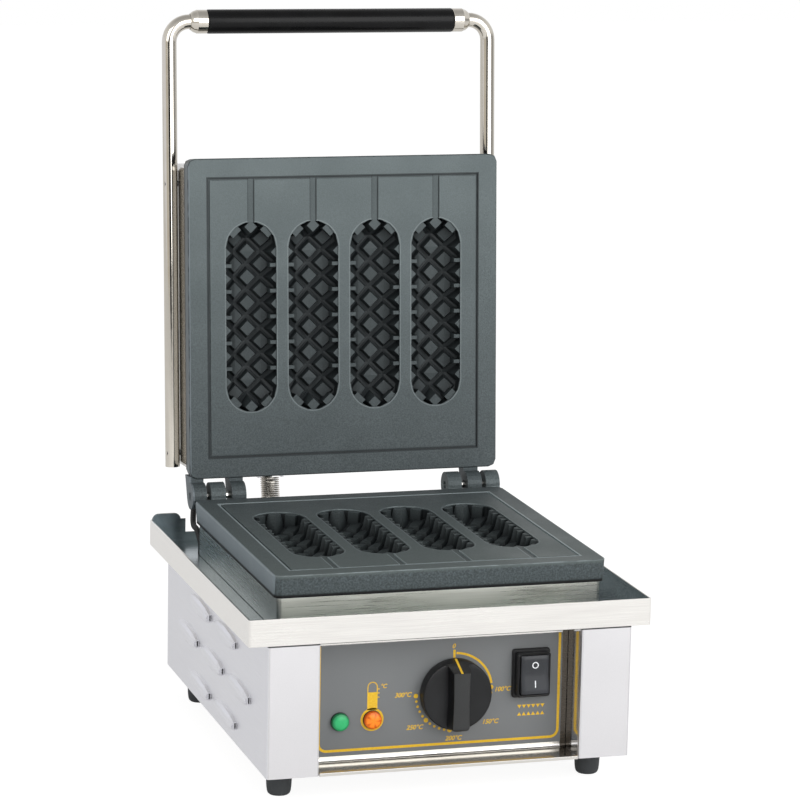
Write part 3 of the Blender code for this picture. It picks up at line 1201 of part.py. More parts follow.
def spring_points():
    """A helix of SPRING_CURLS turns hung from the lid pin, with a long straight tail to the base pin."""
    top, bottom = spring_ends()
    run = bottom - top
    length = run.length
    along = run.normalized()
    across = Vector((1, 0, 0))
    third = along.cross(across)
    radius = SPRING_OUTER_RADIUS - SPRING_WIRE / 2
    seat = ANCHOR_PIN_RADIUS + FIT_GAP
    straight = SPRING_STRAIGHT_SHARE * SPRING_WIRE
    points = [top + along * seat, top + along * (seat + straight)]
    start = seat + straight
    total = SPRING_CURLS * SPRING_POINTS
    ease = SPRING_POINTS
    for k in range(1, total):
        grow = min(k, total - k) / ease
        share = math.sin(min(grow, 1) * math.pi / 2)
        angle = 2 * math.pi * k / SPRING_POINTS
        place = start + SPRING_PITCH * k / SPRING_POINTS
        ring = across * math.cos(angle) + third * math.sin(angle)
        points.append(top + along * place + ring * radius * share)
    points.append(top + along * (start + SPRING_PITCH * SPRING_CURLS + straight))
    points.append(top + along * (length - seat))
    return points


def least_spring_gap(points):
    """Least gap between stretches of the wire that are half a turn or more apart."""
    least = math.inf
    apart = SPRING_POINTS // 2
    segments = list(zip(points, points[1:]))
    for i, (a, b) in enumerate(segments):
        for c, d in segments[i + apart:i + 2 * SPRING_POINTS]:
            for s in range(4):
                p = a.lerp(b, s / 3)
                run = d - c
                t = max(0, min(1, (p - c).dot(run) / run.length_squared))
                least = min(least, (p - c - run * t).length)
    return least - SPRING_WIRE


def add_spring():
    points = spring_points()
    tube("balance_spring", points, SPRING_WIRE / 2, SPRING_STEEL, BASE, resolution=1)
    print("least gap of the balance spring to itself: %.2f mm" % (least_spring_gap(points) * 1000))


# Lid

def add_casing():
    """A deep drawn cover, open towards the plate, with rounded outer edges."""
    half = CASING_WIDTH / 2
    low = (-half, -CASING_FRONT)
    high = (half, -CASING_REAR)

    def ring(inset, level, radius):
        outline = rounded_rectangle([v + inset for v in low], [v - inset for v in high], radius, CORNER_STEPS)
        return [(x, y, level) for x, y in outline]

    corner = CASING_EDGE + SHEET
    bm = bmesh.new()
    levels = [(0, CASING_BOTTOM), (0, CASING_TOP - CASING_EDGE)]
    for k in range(1, CORNER_STEPS + 1):
        angle = math.pi / 2 * k / CORNER_STEPS
        levels.append((CASING_EDGE * (1 - math.cos(angle)), CASING_TOP - CASING_EDGE * (1 - math.sin(angle))))
    loft(bm, [ring(inset, level, corner - inset) for inset, level in levels])
    casing = add_mesh("lid_casing", bm, STAINLESS, LID)
    bm = bmesh.new()
    inner = rounded_rectangle([v + SHEET for v in low], [v - SHEET for v in high], CASING_EDGE, CORNER_STEPS)
    prism(bm, inner, CASING_BOTTOM - OVERRUN, CASING_TOP - SHEET, along_z)
    boolean(casing, add_cutter("casing_inside", bm, LID), "DIFFERENCE")
    bm = bmesh.new()
    for side in (-1, 1):
        for reach in (ROD_SCREW_REAR, ROD_SCREW_FRONT):
            put_round(bm, (side * (half - 2 * SHEET), -reach, ROD_HEIGHT), (side * (half + SHEET), -reach, ROD_HEIGHT),
                      ROD_SCREW_RADIUS + FIT_GAP, SMALL_ROUND)
    boolean(casing, add_cutter("casing_holes", bm, LID), "DIFFERENCE")

    for corner, (x, y) in zip(CORNERS, standoff_places(half, CASING_REAR, CASING_FRONT)):
        bm = bmesh.new()
        put_round(bm, (x, y, CASING_BOTTOM), (x, y, CASING_TOP - SHEET - FIT_GAP), STANDOFF_RADIUS, SMALL_ROUND)
        add_mesh(f"upper_standoff_{corner}", bm, ELEMENT_STEEL, LID)
    bm = bmesh.new()
    top = CASING_TOP - SHEET - FIT_GAP
    put_box(bm, (-half + INSULATION_INSET, -CASING_FRONT + INSULATION_INSET, top - UPPER_INSULATION_THICKNESS),
            (half - INSULATION_INSET, -CASING_REAR - INSULATION_INSET, top))
    add_mesh("upper_insulation", bm, MINERAL_BOARD, LID, smooth=False)


def add_handle():
    """A bent round bar screwed to both casing sides, with a black tube grip between two ferrules."""
    reach = ROD_REACH
    points = [(-ROD_X, -CASING_REAR, ROD_HEIGHT)]
    for centre, first in ((-ROD_X + ROD_BEND, math.pi), (ROD_X - ROD_BEND, 1.5 * math.pi)):
        for k in range(ROD_BEND_STEPS + 1):
            angle = first + math.pi / 2 * k / ROD_BEND_STEPS
            points.append((centre + ROD_BEND * math.cos(angle),
                           -reach + ROD_BEND + ROD_BEND * math.sin(angle), ROD_HEIGHT))
    points.append((ROD_X, -CASING_REAR, ROD_HEIGHT))
    guide = tube("rod_guide", points, ROD_RADIUS, CHROME, None, resolution=3)
    bm = bmesh.new()
    mesh = baked_mesh(guide)
    bm.from_mesh(mesh)
    bpy.data.objects.remove(guide, do_unlink=True)
    bmesh.ops.remove_doubles(bm, verts=bm.verts, dist=MERGE_DISTANCE)
    rod = add_mesh("handle_rod", bm, CHROME, LID)
    bm = bmesh.new()
    for side in (-1, 1):
        seat, outer = side * (ROD_X + ROD_RADIUS / 3), side * (ROD_X + 2 * ROD_RADIUS)
        for place in (ROD_SCREW_REAR, ROD_SCREW_FRONT):
            put_round(bm, (seat, -place, ROD_HEIGHT), (outer, -place, ROD_HEIGHT),
                      ROD_SCREW_HEAD + FIT_GAP, SMALL_ROUND)
    boolean(rod, add_cutter("rod_screw_seats", bm, LID), "DIFFERENCE")
    bm = bmesh.new()
    for side in (-1, 1):
        inner, outer = side * (ROD_X - 2 * ROD_RADIUS), side * (ROD_X + ROD_RADIUS)
        for place in (ROD_SCREW_REAR, ROD_SCREW_FRONT):
            put_round(bm, (inner, -place, ROD_HEIGHT), (outer, -place, ROD_HEIGHT),
                      ROD_SCREW_RADIUS + FIT_GAP, SMALL_ROUND)
    boolean(rod, add_cutter("rod_screw_bores", bm, LID), "DIFFERENCE")

    seat = ROD_X + ROD_RADIUS / 3 + FIT_GAP
    top = seat + ROD_RADIUS / 2
    tail = CASING_WIDTH / 2 - 2 * SHEET - FIT_GAP
    profile = [(0, top), (ROD_SCREW_HEAD, top), (ROD_SCREW_HEAD, seat), (ROD_SCREW_RADIUS, seat),
               (ROD_SCREW_RADIUS, tail), (0, tail)]
    places = [(side, place) for side in (-1, 1) for place in (ROD_SCREW_REAR, ROD_SCREW_FRONT)]
    for corner, (side, place) in zip(CORNERS, places):
        outward = Matrix.Rotation(side * math.pi / 2, 4, "Y")
        turned(f"handle_screw_{corner}", profile, ELEMENT_STEEL, LID,
               Matrix.Translation((0, -place, ROD_HEIGHT)) @ outward, SCREW_SIDES)

    across = Matrix.Translation((0, -reach, ROD_HEIGHT)) @ Matrix.Rotation(math.pi / 2, 4, "Y")
    bore = ROD_RADIUS + FIT_GAP
    half = ROD_X - ROD_BEND - FERRULE_BEND_GAP - FERRULE_LENGTH - FIT_GAP
    edge = PLATE_EDGE
    grip = [(bore, half), (GRIP_RADIUS - edge, half), (GRIP_RADIUS, half - edge), (GRIP_RADIUS, -half + edge),
            (GRIP_RADIUS - edge, -half), (bore, -half), (bore, half)]
    turned("handle_grip", grip, BLACK_PLASTIC, LID, across, GRIP_SIDES)
    for name, side in (("grip_ferrule_left", -1), ("grip_ferrule_right", 1)):
        near = half + FIT_GAP
        far = near + FERRULE_LENGTH
        shoulder = far - FERRULE_CONE
        profile = [(bore, far), (FERRULE_TIP_RADIUS, far), (FERRULE_RADIUS, shoulder), (FERRULE_RADIUS, near),
                   (bore, near), (bore, far)]
        face = across if side > 0 else across @ Matrix.Rotation(math.pi, 4, "X")
        turned(name, profile, CHROME, LID, face, GRIP_SIDES)


add_plates()
add_heating()
add_plinth()
add_tray()
add_side_panel(-1, "left_side_panel")
add_side_panel(1, "right_side_panel")
add_pan()
add_rear_panel()
add_feet()
add_fascia()
add_thermostat()
add_switch()
add_lamps()
add_wiring()
add_anchors()
add_spring()
add_casing()
add_handle()
bpy.context.view_layer.update()
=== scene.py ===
"""Looks of the waffle stick maker: finishes, printed panel, knob, switch, lamps, spring and light.

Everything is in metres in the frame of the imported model: -Y is the front, +Z is up. Places come from
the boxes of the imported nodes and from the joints, so each piece sits where its solid is.
"""
import itertools
import json
import math

import bmesh
import bpy
from mathutils import Matrix, Vector


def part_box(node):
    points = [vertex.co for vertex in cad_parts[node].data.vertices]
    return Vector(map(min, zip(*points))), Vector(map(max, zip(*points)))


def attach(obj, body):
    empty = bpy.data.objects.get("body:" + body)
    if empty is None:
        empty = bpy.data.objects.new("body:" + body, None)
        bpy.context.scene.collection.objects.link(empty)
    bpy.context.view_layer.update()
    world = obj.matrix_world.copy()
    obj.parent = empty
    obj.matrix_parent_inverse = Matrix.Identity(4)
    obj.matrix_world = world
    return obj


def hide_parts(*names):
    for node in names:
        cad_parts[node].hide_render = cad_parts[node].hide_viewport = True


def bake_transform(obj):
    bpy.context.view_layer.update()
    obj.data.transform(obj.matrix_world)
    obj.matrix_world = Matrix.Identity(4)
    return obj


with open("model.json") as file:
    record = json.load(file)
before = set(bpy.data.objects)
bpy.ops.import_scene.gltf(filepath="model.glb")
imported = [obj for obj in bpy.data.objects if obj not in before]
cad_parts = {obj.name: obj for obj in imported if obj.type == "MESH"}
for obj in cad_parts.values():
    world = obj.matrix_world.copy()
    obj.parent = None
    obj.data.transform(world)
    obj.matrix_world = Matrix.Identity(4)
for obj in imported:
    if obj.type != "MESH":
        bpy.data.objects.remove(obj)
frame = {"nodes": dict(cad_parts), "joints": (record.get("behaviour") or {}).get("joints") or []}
bpy.context.scene.view_settings.view_transform = "Standard"
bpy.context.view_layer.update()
MM = 0.001


def middle_and_half(name):
    """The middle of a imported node's box, and half of its size."""
    low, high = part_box(name)
    return (low + high) / 2, (high - low) / 2


# The camera that the photograph was taken with, from the panel, tray and plates seen in it
CAMERA_PLACE = Vector((-0.7525, -2.5483, 0.7802))
CAMERA_YAW = math.radians(16.712)
CAMERA_PITCH = math.radians(11.081)
CAMERA_ROLL = math.radians(1.120)
CAMERA_LENS = 158.98
CAMERA_SENSOR = 36

# The room, as bright parts mirror it: degrees to the right of straight ahead of the object, and colour
ROOM_AHEAD = Vector((-0.2875, -0.9578, 0))
ROOM_ASIDE = Vector((0.9578, -0.2875, 0))
ROOM_WALLS = ((-180, "#FAFBFF"), (-95, "#F6F7FE"), (-60, "#F6F7FC"), (-48, "#D8D2C6"), (-20, "#D3CDC2"),
              (-17, "#F3F3F3"), (-13, "#282828"), (11, "#282828"), (15, "#E6E6E6"), (58, "#E6E6E6"),
              (66, "#B3B3B3"), (104, "#AAAAAA"), (115, "#E7E7E7"), (180, "#F3F3F3"))

# Joints
JOINTS = {joint["name"]: joint for joint in frame["joints"]}
HINGE = Vector(JOINTS["lid_hinge"]["pos_m"])
LID_TILT = math.radians(JOINTS["lid_hinge"]["range_deg"][1] - 90)
DIAL = Vector(JOINTS["thermostat_dial"]["pos_m"])
ROCKER = Vector(JOINTS["power_switch"]["pos_m"])

# Front of the steel fascia, where the dial's and the switch's joints lie
FASCIA_Y = DIAL.y

# Brushed sheet and the drip tray
SCRATCH_LENGTH = 36 * MM
SCRATCH_WIDTH = 0.5 * MM
TRAY_LOW, TRAY_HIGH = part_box("top_tray")

# Printed panel, measured from the photograph in the plane of the overlay
PANEL_LOW, PANEL_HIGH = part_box("control_overlay")
PANEL_Y = PANEL_LOW.y
INK = 0.06 * MM
PAN_GAP = 0.3 * MM
BORDER_X = 92.1 * MM
BORDER_Z = 32.0 * MM
BORDER_WIDTH = 2.0 * MM
BORDER_CORNER = 6.0 * MM
LABEL_SIZE = 4.8 * MM
LABEL_SLANT = 0.28
DIAL_ARC_RADIUS = 29.6 * MM
DIAL_DOT_RADIUS = 29.0 * MM
DIAL_STOPS = (86, 143.5, 185, 226, 267.5)
DIAL_LABELS = (("0", -0.7, 34.9), ("100°C", 37.6, 0.0), ("150°C", 28.6, -24.3),
               ("200°C", 0.4, -35.2), ("250°C", -29.6, -25.1), ("300°C", -39.0, 0.0))

# Knob
KNOB_BACK = 2.4 * MM
KNOB_RADIUS = 26.3 * MM
KNOB_SKIRT = 1.6 * MM
KNOB_DISC = 9.5 * MM
KNOB_RIDGE = 19.5 * MM
KNOB_RIDGE_END = -24.6 * MM
KNOB_RIDGE_FOOT = 8.5 * MM
KNOB_RIDGE_TOP = 6.9 * MM
KNOB_WAIST = 0.7 * MM
KNOB_SLOPE = 7.0 * MM
KNOB_POINTER = 1.7 * MM
KNOB_FACE = FASCIA_Y - KNOB_BACK
FACET_FOOT = Vector((DIAL.x, KNOB_FACE - KNOB_SKIRT, DIAL.z + KNOB_RADIUS))
FACET_TOP = Vector((DIAL.x, KNOB_FACE - KNOB_RIDGE, DIAL.z + KNOB_RADIUS - KNOB_SLOPE))
FACET_OUT = Vector((0, -KNOB_SLOPE, KNOB_RIDGE - KNOB_SKIRT)).normalized()

# Rocker switch's paddle, from its pivot; at rest it is tipped to the off side
PADDLE_HALF_WIDTH = 10.5 * MM
PADDLE_HALF_HEIGHT = 14.35 * MM
PADDLE_GAP = 0.7 * MM
PADDLE_DISH = 1.2 * MM
PADDLE_CORNER = 1.6 * MM
PADDLE_SKIRT = 7.5 * MM
PADDLE_FRONT = PANEL_Y - FASCIA_Y - 13.1 * MM
PADDLE_PLACE = Matrix.Translation(ROCKER) @ Matrix.Rotation(math.radians(-4), 4, "X")

# Lamps
LAMP_CENTRES = {colour: middle_and_half(f"{colour}_lamp_lens")[0] for colour in ("green", "orange")}

# Castings, measured from the hinge line and the faces
FACE = 0.4 * MM
PLATE_RUN = (13.2 * MM, 266.2 * MM)
PLATE_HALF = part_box("lower_plate")[1].x
PLATE_THICKNESS = 17.0 * MM
PLATE_MARGIN = 8 * MM
GROOVE_X = 111 * MM
GROOVE_RUNS = (29.7 * MM, 250.7 * MM)
VENT_HALF = 2.4 * MM
CAVITY_LENGTH = 150.8 * MM
CAVITY_DEPTH = 18.8 * MM
CAVITY_MIDDLE = 140.6 * MM
CAVITY_PITCH = 50.7 * MM
CAVITY_RADIUS = 20.5 * MM
TOOTH_ROWS = (-40.8 * MM, -20.4 * MM, 0.0, 20.4 * MM, 40.8 * MM)
TOOTH_WIDTH = 3.0 * MM
TOOTH_REACH = 5.0 * MM
TOOTH_DROP = 1.0 * MM
TOOTH_FOOT = 14.5 * MM

# Handle rod, beside and behind the lid casing
ROD_X = 131.6 * MM
ROD_RADIUS = 5.8 * MM
ROD_BEHIND = 40.5 * MM
ROD_RUN = (18.3 * MM, 371.8 * MM)
ROD_BEND = 16.0 * MM

# Balance spring, between the anchor pins
SPRING_X = -54.6 * MM
SPRING_LID_PIN = (12.0 * MM, 30.0 * MM)
SPRING_BASE_PIN = Vector((SPRING_X, 0.102275, 0.036))
SPRING_WIRE = 1.15 * MM
SPRING_RADIUS = 7.1 * MM
SPRING_CURLS = 88
SPRING_PIN_RADIUS = 2.5 * MM

# Sleeved lead from the base to the lid's element
LEAD_RADIUS = 2.3 * MM
LEAD_POINTS = ((-0.1203, 0.0965, 0.1216), (-0.1203, 0.0965, 0.1297), (-0.1203, 0.1087, 0.1378),
               (-0.1203, 0.1232, 0.1427), (-0.1111, 0.1538, 0.1698), (-0.1111, 0.1546, 0.1810))


# Nodes and materials

def srgb(code):
    """Linear colour of an sRGB hex code."""
    channels = [int(code[i:i + 2], 16) / 255 for i in (1, 3, 5)]
    return (*(c / 12.92 if c <= 0.04045 else ((c + 0.055) / 1.055) ** 2.4 for c in channels), 1)


def set_inputs(tree, node, inputs):
    """Gives a node's inputs, by name or in their order, a value, an sRGB colour or a link each."""
    for key, value in inputs.items() if isinstance(inputs, dict) else enumerate(inputs):
        socket = node.inputs[key]
        if isinstance(value, bpy.types.NodeSocket):
            tree.links.new(value, socket)
        else:
            socket.default_value = srgb(value) if isinstance(value, str) else value


def add_node(tree, kind, inputs=(), output=0, **settings):
    """Adds a node, sets its properties and inputs, and gives one of its outputs, or itself for None."""
    node = tree.nodes.new("ShaderNode" + kind)
    for name, value in settings.items():
        setattr(node, name, value)
    set_inputs(tree, node, inputs)
    return node if output is None else node.outputs[output]


def new_material(name, inputs):
    """A Principled material whose constant values are set on the shader's own sockets."""
    material = bpy.data.materials.new(name)
    material.use_nodes = True
    shader = material.node_tree.nodes["Principled BSDF"]
    set_inputs(material.node_tree, shader, inputs)
    return material, material.node_tree, shader


def surface_point(tree, stretch=(1, 1, 1)):
    """Coordinates on the object in metres, stretched so that a pattern gets its real size."""
    place = add_node(tree, "TexCoord", output="Object")
    return add_node(tree, "Mapping", {"Vector": place, "Scale": stretch})


def patches(tree, size, detail=2, roughness=0.5, stretch=(1, 1, 1)):
    """An uneven pattern on the surface, with patches of about the given size in metres."""
    return add_node(tree, "TexNoise", {"Vector": surface_point(tree, stretch), "Scale": 1 / size,
                                       "Detail": detail, "Roughness": roughness})


def product(tree, *factors):
    """Masks and strengths, multiplied."""
    result = factors[0]
    for factor in factors[1:]:
        result = add_node(tree, "Math", (result, factor), operation="MULTIPLY")
    return result


def zone(tree, *limits):
    """1 where each value lies within a reach of its middle, and 0 elsewhere: (value, middle, reach)."""
    return product(tree, *(add_node(tree, "Math", limit, operation="COMPARE") for limit in limits))


def in_box(tree, low, high):
    """1 between two corners and between their mirror images to the left of the middle, 0 elsewhere."""
    x, y, z = add_node(tree, "SeparateXYZ", (surface_point(tree),), output=None).outputs
    values = (add_node(tree, "Math", (x,), operation="ABSOLUTE"), y, z)
    return zone(tree, *((value, (a + b) / 2, (b - a) / 2) for value, a, b in zip(values, low, high)))


def coated(tree, base, *films):
    """A base colour under films of other colours, each as dense as its mask: (mask, colour)."""
    for mask, film in films:
        base = add_node(tree, "Mix", {0: mask, 6: base, 7: film}, output=2, data_type="RGBA")
    return base


def sand_cast_iron(name, inward, onward, groove_half, tones):
    """Bead-blasted grey iron, seasoned by use: slate and matt on the face, sooty and in painted shade between
    the pegs, and painted lighter towards the far end and on the left side.

    The depth below the plate's face and the distance from each trough's middle set the soot and the painted
    shade. The edge line is painted lighter on the lower plate, partly as wear and partly as a painted
    highlight, and darker on the upper one; the groove and vent lines are painted highlight on the lower plate
    and painted shade on the upper one. The way inward goes from the face into the plate, and the way onward
    from the hinge to the far edge.
    """
    material, tree, shader = new_material(name, {"Metallic": 0.30, "Specular IOR Level": 0.4})
    grit = patches(tree, 1.1 * MM, 4, 0.65)
    stain = patches(tree, 38 * MM, 4)
    from_hinge = add_node(tree, "VectorMath", (surface_point(tree), HINGE), operation="SUBTRACT")
    below, run = (add_node(tree, "VectorMath", (from_hinge, way), output=1, operation="DOT_PRODUCT")
                  for way in (inward, onward))
    depth = add_node(tree, "Math", (below, FACE), operation="SUBTRACT")
    x = add_node(tree, "SeparateXYZ", (from_hinge,))
    middle, half = sum(PLATE_RUN) / 2, (PLATE_RUN[1] - PLATE_RUN[0]) / 2
    inside = zone(tree, (x, 0, PLATE_HALF - PLATE_MARGIN), (run, middle, half - PLATE_MARGIN))
    outside = add_node(tree, "Math", (1, inside), operation="SUBTRACT")
    # Painted light: the face grows lighter towards its far end
    face = coated(tree, tones["dark"],
                  (add_node(tree, "MapRange", (grit, 0.36, 0.64, 0, 1)), tones["pale"]),
                  (add_node(tree, "MapRange", (stain, 0.3, 0.7, 0, 0.30)), "#42494B"),
                  (add_node(tree, "MapRange", (run, *PLATE_RUN, 0, 0.60)), tones["lit_far_end"]))

    # Soot and painted shade gather away from the middle of each trough, in shares of its radius and depth,
    # and all that lies sunk below the face gets painted shade
    shifted = add_node(tree, "Math", (x, CAVITY_PITCH * 1.5), operation="ADD")
    beside = add_node(tree, "Math", (shifted, CAVITY_PITCH / 2), operation="PINGPONG")
    along = add_node(tree, "Math", (run, CAVITY_MIDDLE), operation="SUBTRACT")
    along = add_node(tree, "Math", (along,), operation="ABSOLUTE")
    past = add_node(tree, "Math", (along, CAVITY_LENGTH / 2 - CAVITY_RADIUS), operation="SUBTRACT")
    past = add_node(tree, "Math", (past, 0), operation="MAXIMUM")
    lengths = ((beside, CAVITY_RADIUS), (past, CAVITY_RADIUS), (depth, CAVITY_DEPTH))
    shares = [add_node(tree, "Math", length, operation="DIVIDE") for length in lengths]
    away = add_node(tree, "CombineXYZ", shares)
    away = add_node(tree, "VectorMath", (away,), output=1, operation="LENGTH")
    soot_and_shade = add_node(tree, "MapRange", (away, 0.74, 0.95, 0.30, 0.95))
    sunk = add_node(tree, "Math", (depth, 1.3 * MM), operation="GREATER_THAN")
    sunk_shade = add_node(tree, "MapRange", (depth, 0.5 * MM, 1.0 * MM, 0, 0.38))

    # The outer sides are rougher than the face, the left side gets painted light, and a painted shadow seam
    # runs under them
    side = zone(tree, (x, -PLATE_HALF, 1.5 * MM))
    not_side = add_node(tree, "Math", (1, side), operation="SUBTRACT")
    rim = add_node(tree, "MapRange", (depth, 0.8 * MM, 3.0 * MM, 0, 0.70))
    skin = add_node(tree, "MapRange", (patches(tree, 1.5 * MM, 4, 0.7), 0.40, 0.68, 0, 1))
    seam = add_node(tree, "MapRange", (depth, PLATE_THICKNESS - 3.0 * MM, PLATE_THICKNESS - 1.6 * MM, 0, 1))

    # Thin lines: the plate's edge, a painted highlight round the mouths of the troughs, and the frame groove
    # and the vents' sides, painted highlight on the lower plate and painted shade on the upper one
    edge = zone(tree, (depth, 0.36 * MM, 0.30 * MM))
    patchy = add_node(tree, "MapRange", (patches(tree, 9 * MM, 3), 0.4, 0.6, 0.25, 0.95))
    plan = add_node(tree, "CombineXYZ", (beside, past))
    from_trough = add_node(tree, "VectorMath", (plan,), output=1, operation="LENGTH")
    mouth_highlight = zone(tree, (from_trough, CAVITY_RADIUS + 0.45 * MM, 0.40 * MM), (depth, 0, 0.4 * MM),
                 (x, 0, CAVITY_PITCH * 2))
    groove = zone(tree, (add_node(tree, "Math", (x,), operation="ABSOLUTE"), GROOVE_X, groove_half))
    for line in GROOVE_RUNS:
        groove = add_node(tree, "Math", (groove, zone(tree, (run, line, groove_half))), operation="MAXIMUM")
    near, far = GROOVE_RUNS
    framed = zone(tree, (depth, 0.6 * MM, 0.85 * MM), (x, 0, GROOVE_X + groove_half),
                  (run, (near + far) / 2, (far - near) / 2 + groove_half))
    first = CAVITY_MIDDLE + CAVITY_LENGTH / 2
    vent = zone(tree, (beside, VENT_HALF + 0.15 * MM, 0.42 * MM), (run, (first + far) / 2, (far - first) / 2))

    colour = coated(tree, face,
                    (product(tree, soot_and_shade, sunk, inside), "#171B1D"),
                    (product(tree, sunk_shade, inside), "#22282A"),
                    (product(tree, rim, outside, not_side), coated(tree, "#2A3032", (skin, "#59646A"))),
                    (product(tree, side, 0.8), tones["left_side"]),
                    (product(tree, seam, outside), "#0C0D0E"),
                    (product(tree, edge, patchy), tones["edge"]),
                    (product(tree, mouth_highlight, inside, 0.35), "#8E9799"),
                    (product(tree, groove, inside, framed, 0.85), tones["groove"]),
                    (product(tree, vent, inside, 0.6), tones["groove"]))
    gloss = add_node(tree, "MapRange", (stain, 0.3, 0.7, 0.50, 0.62))
    relief = add_node(tree, "Bump", {"Height": grit, "Distance": 0.16 * MM, "Strength": 0.8})
    set_inputs(tree, shader, {"Base Color": colour, "Roughness": gloss, "Normal": relief})
    return material


def brushed_stainless(name, grain, pale, dark, low, high, shaded=(), polished=None):
    """Ferritic stainless sheet, brushed one way: fine long scratches that draw out the highlights.

    The streaks are drawn 0.5 mm wide, as coarse as they need to be to show in a picture. Each shaded
    zone is two corners, a colour and a strength: a film of painted shade laid over the sheet between them.
    A polished zone is two corners where the protective film kept the mill finish bright.
    """
    material, tree, shader = new_material(name, {"Metallic": 1.0})
    streak = patches(tree, 1, stretch=[1 / (SCRATCH_LENGTH if a in grain else SCRATCH_WIDTH) for a in "XYZ"])
    cloud = patches(tree, 90 * MM)
    films = [(product(tree, in_box(tree, start, end), strength), film)
             for start, end, film, strength in shaded]
    colour = coated(tree, dark, (add_node(tree, "MapRange", (streak, 0.2, 0.8, 0, 1)), pale), *films)
    uneven = add_node(tree, "Math", (streak, cloud), operation="ADD")
    gloss = add_node(tree, "MapRange", (uneven, 0.7, 1.3, low, high))
    if polished:
        bright = product(tree, in_box(tree, *polished), 0.7)
        gloss = product(tree, gloss, add_node(tree, "Math", (1, bright), operation="SUBTRACT"))
    relief = add_node(tree, "Bump", {"Height": streak, "Distance": 0.01 * MM, "Strength": 0.25})
    set_inputs(tree, shader, {"Base Color": colour, "Roughness": gloss, "Normal": relief})
    return material


def pan_steel():
    """Folded stainless lip, bright at its front edge, with a painted brown reflection of the panel towards
    the fascia.
    """
    material, tree, shader = new_material("pan_stainless", {"Metallic": 1.0})
    streak = patches(tree, 1, stretch=(1 / SCRATCH_LENGTH, 1 / SCRATCH_WIDTH, 1 / SCRATCH_WIDTH))
    back = add_node(tree, "SeparateXYZ", (surface_point(tree),), output=1)
    panel_reflection = add_node(tree, "MapRange", (back, TRAY_LOW.y + 1.7 * MM, TRAY_LOW.y + 15.7 * MM, 0.10, 0.85))
    gloss = add_node(tree, "MapRange", (streak, 0.3, 0.7, 0.10, 0.18))
    set_inputs(tree, shader, {"Base Color": coated(tree, "#E6E3DE", (panel_reflection, "#6A6353")), "Roughness": gloss})
    return material


def mottled(name, size, detail, dark, pale, gloss, inputs, relief=None, roughness=0.5, stretch=(1, 1, 1)):
    """A finish whose colour, gloss and relief all follow one pattern; relief is a depth and a strength."""
    material, tree, shader = new_material(name, inputs)
    pattern = patches(tree, size, detail, roughness, stretch)
    found = {}
    if dark:
        found["Base Color"] = coated(tree, dark, (pattern, pale))
    if gloss:
        found["Roughness"] = add_node(tree, "MapRange", (pattern, 0.3, 0.7, *gloss))
    if relief:
        depth, strength = relief
        found["Normal"] = add_node(tree, "Bump", {"Height": pattern, "Distance": depth, "Strength": strength})
    set_inputs(tree, shader, found)
    return material


def moulded_plastic(name, dark, pale, low, high, depth=0.03 * MM, level=0.32, worn=None):
    """Moulded thermoset: near black, with the fine spark texture of the mould in its gloss.

    The worn zone is two corners where fingers have rubbed it grey.
    """
    material, tree, shader = new_material(name, {"IOR": 1.5, "Specular IOR Level": level})
    spark, sheen = patches(tree, 0.8 * MM), patches(tree, 22 * MM)
    films = [(product(tree, in_box(tree, *worn), 0.8), "#353636")] if worn else []
    colour = coated(tree, dark, (add_node(tree, "MapRange", (sheen, 0.3, 0.7, 0, 1)), pale), *films)
    gloss = add_node(tree, "MapRange", (sheen, 0.3, 0.7, low, high))
    relief = add_node(tree, "Bump", {"Height": spark, "Distance": depth, "Strength": 0.5})
    set_inputs(tree, shader, {"Base Color": colour, "Roughness": gloss, "Normal": relief})
    return material


def printed_film():
    """Printed polyester film: an even mid grey, with the fine velvet texture of the film."""
    material, tree, shader = new_material("printed_film", {"IOR": 1.6, "Specular IOR Level": 0.35})
    velvet, shade = patches(tree, 0.8 * MM), patches(tree, 60 * MM, 1)
    gloss = add_node(tree, "MapRange", (velvet, 0.3, 0.7, 0.36, 0.50))
    relief = add_node(tree, "Bump", {"Height": velvet, "Distance": 0.01 * MM, "Strength": 0.4})
    colour = coated(tree, "#696C6D", (shade, "#747677"))
    set_inputs(tree, shader, {"Base Color": colour, "Roughness": gloss, "Normal": relief})
    return material


def screen_ink(name, dark, pale):
    """Screen-printed ink on the film: opaque, with the mesh's slight unevenness."""
    material, tree, shader = new_material(name, {"IOR": 1.5, "Specular IOR Level": 0.3, "Roughness": 0.45})
    mottle = add_node(tree, "MapRange", (patches(tree, 1.2 * MM, 3), 0.3, 0.7, 0, 1))
    set_inputs(tree, shader, {"Base Color": coated(tree, dark, (mottle, pale))})
    return material


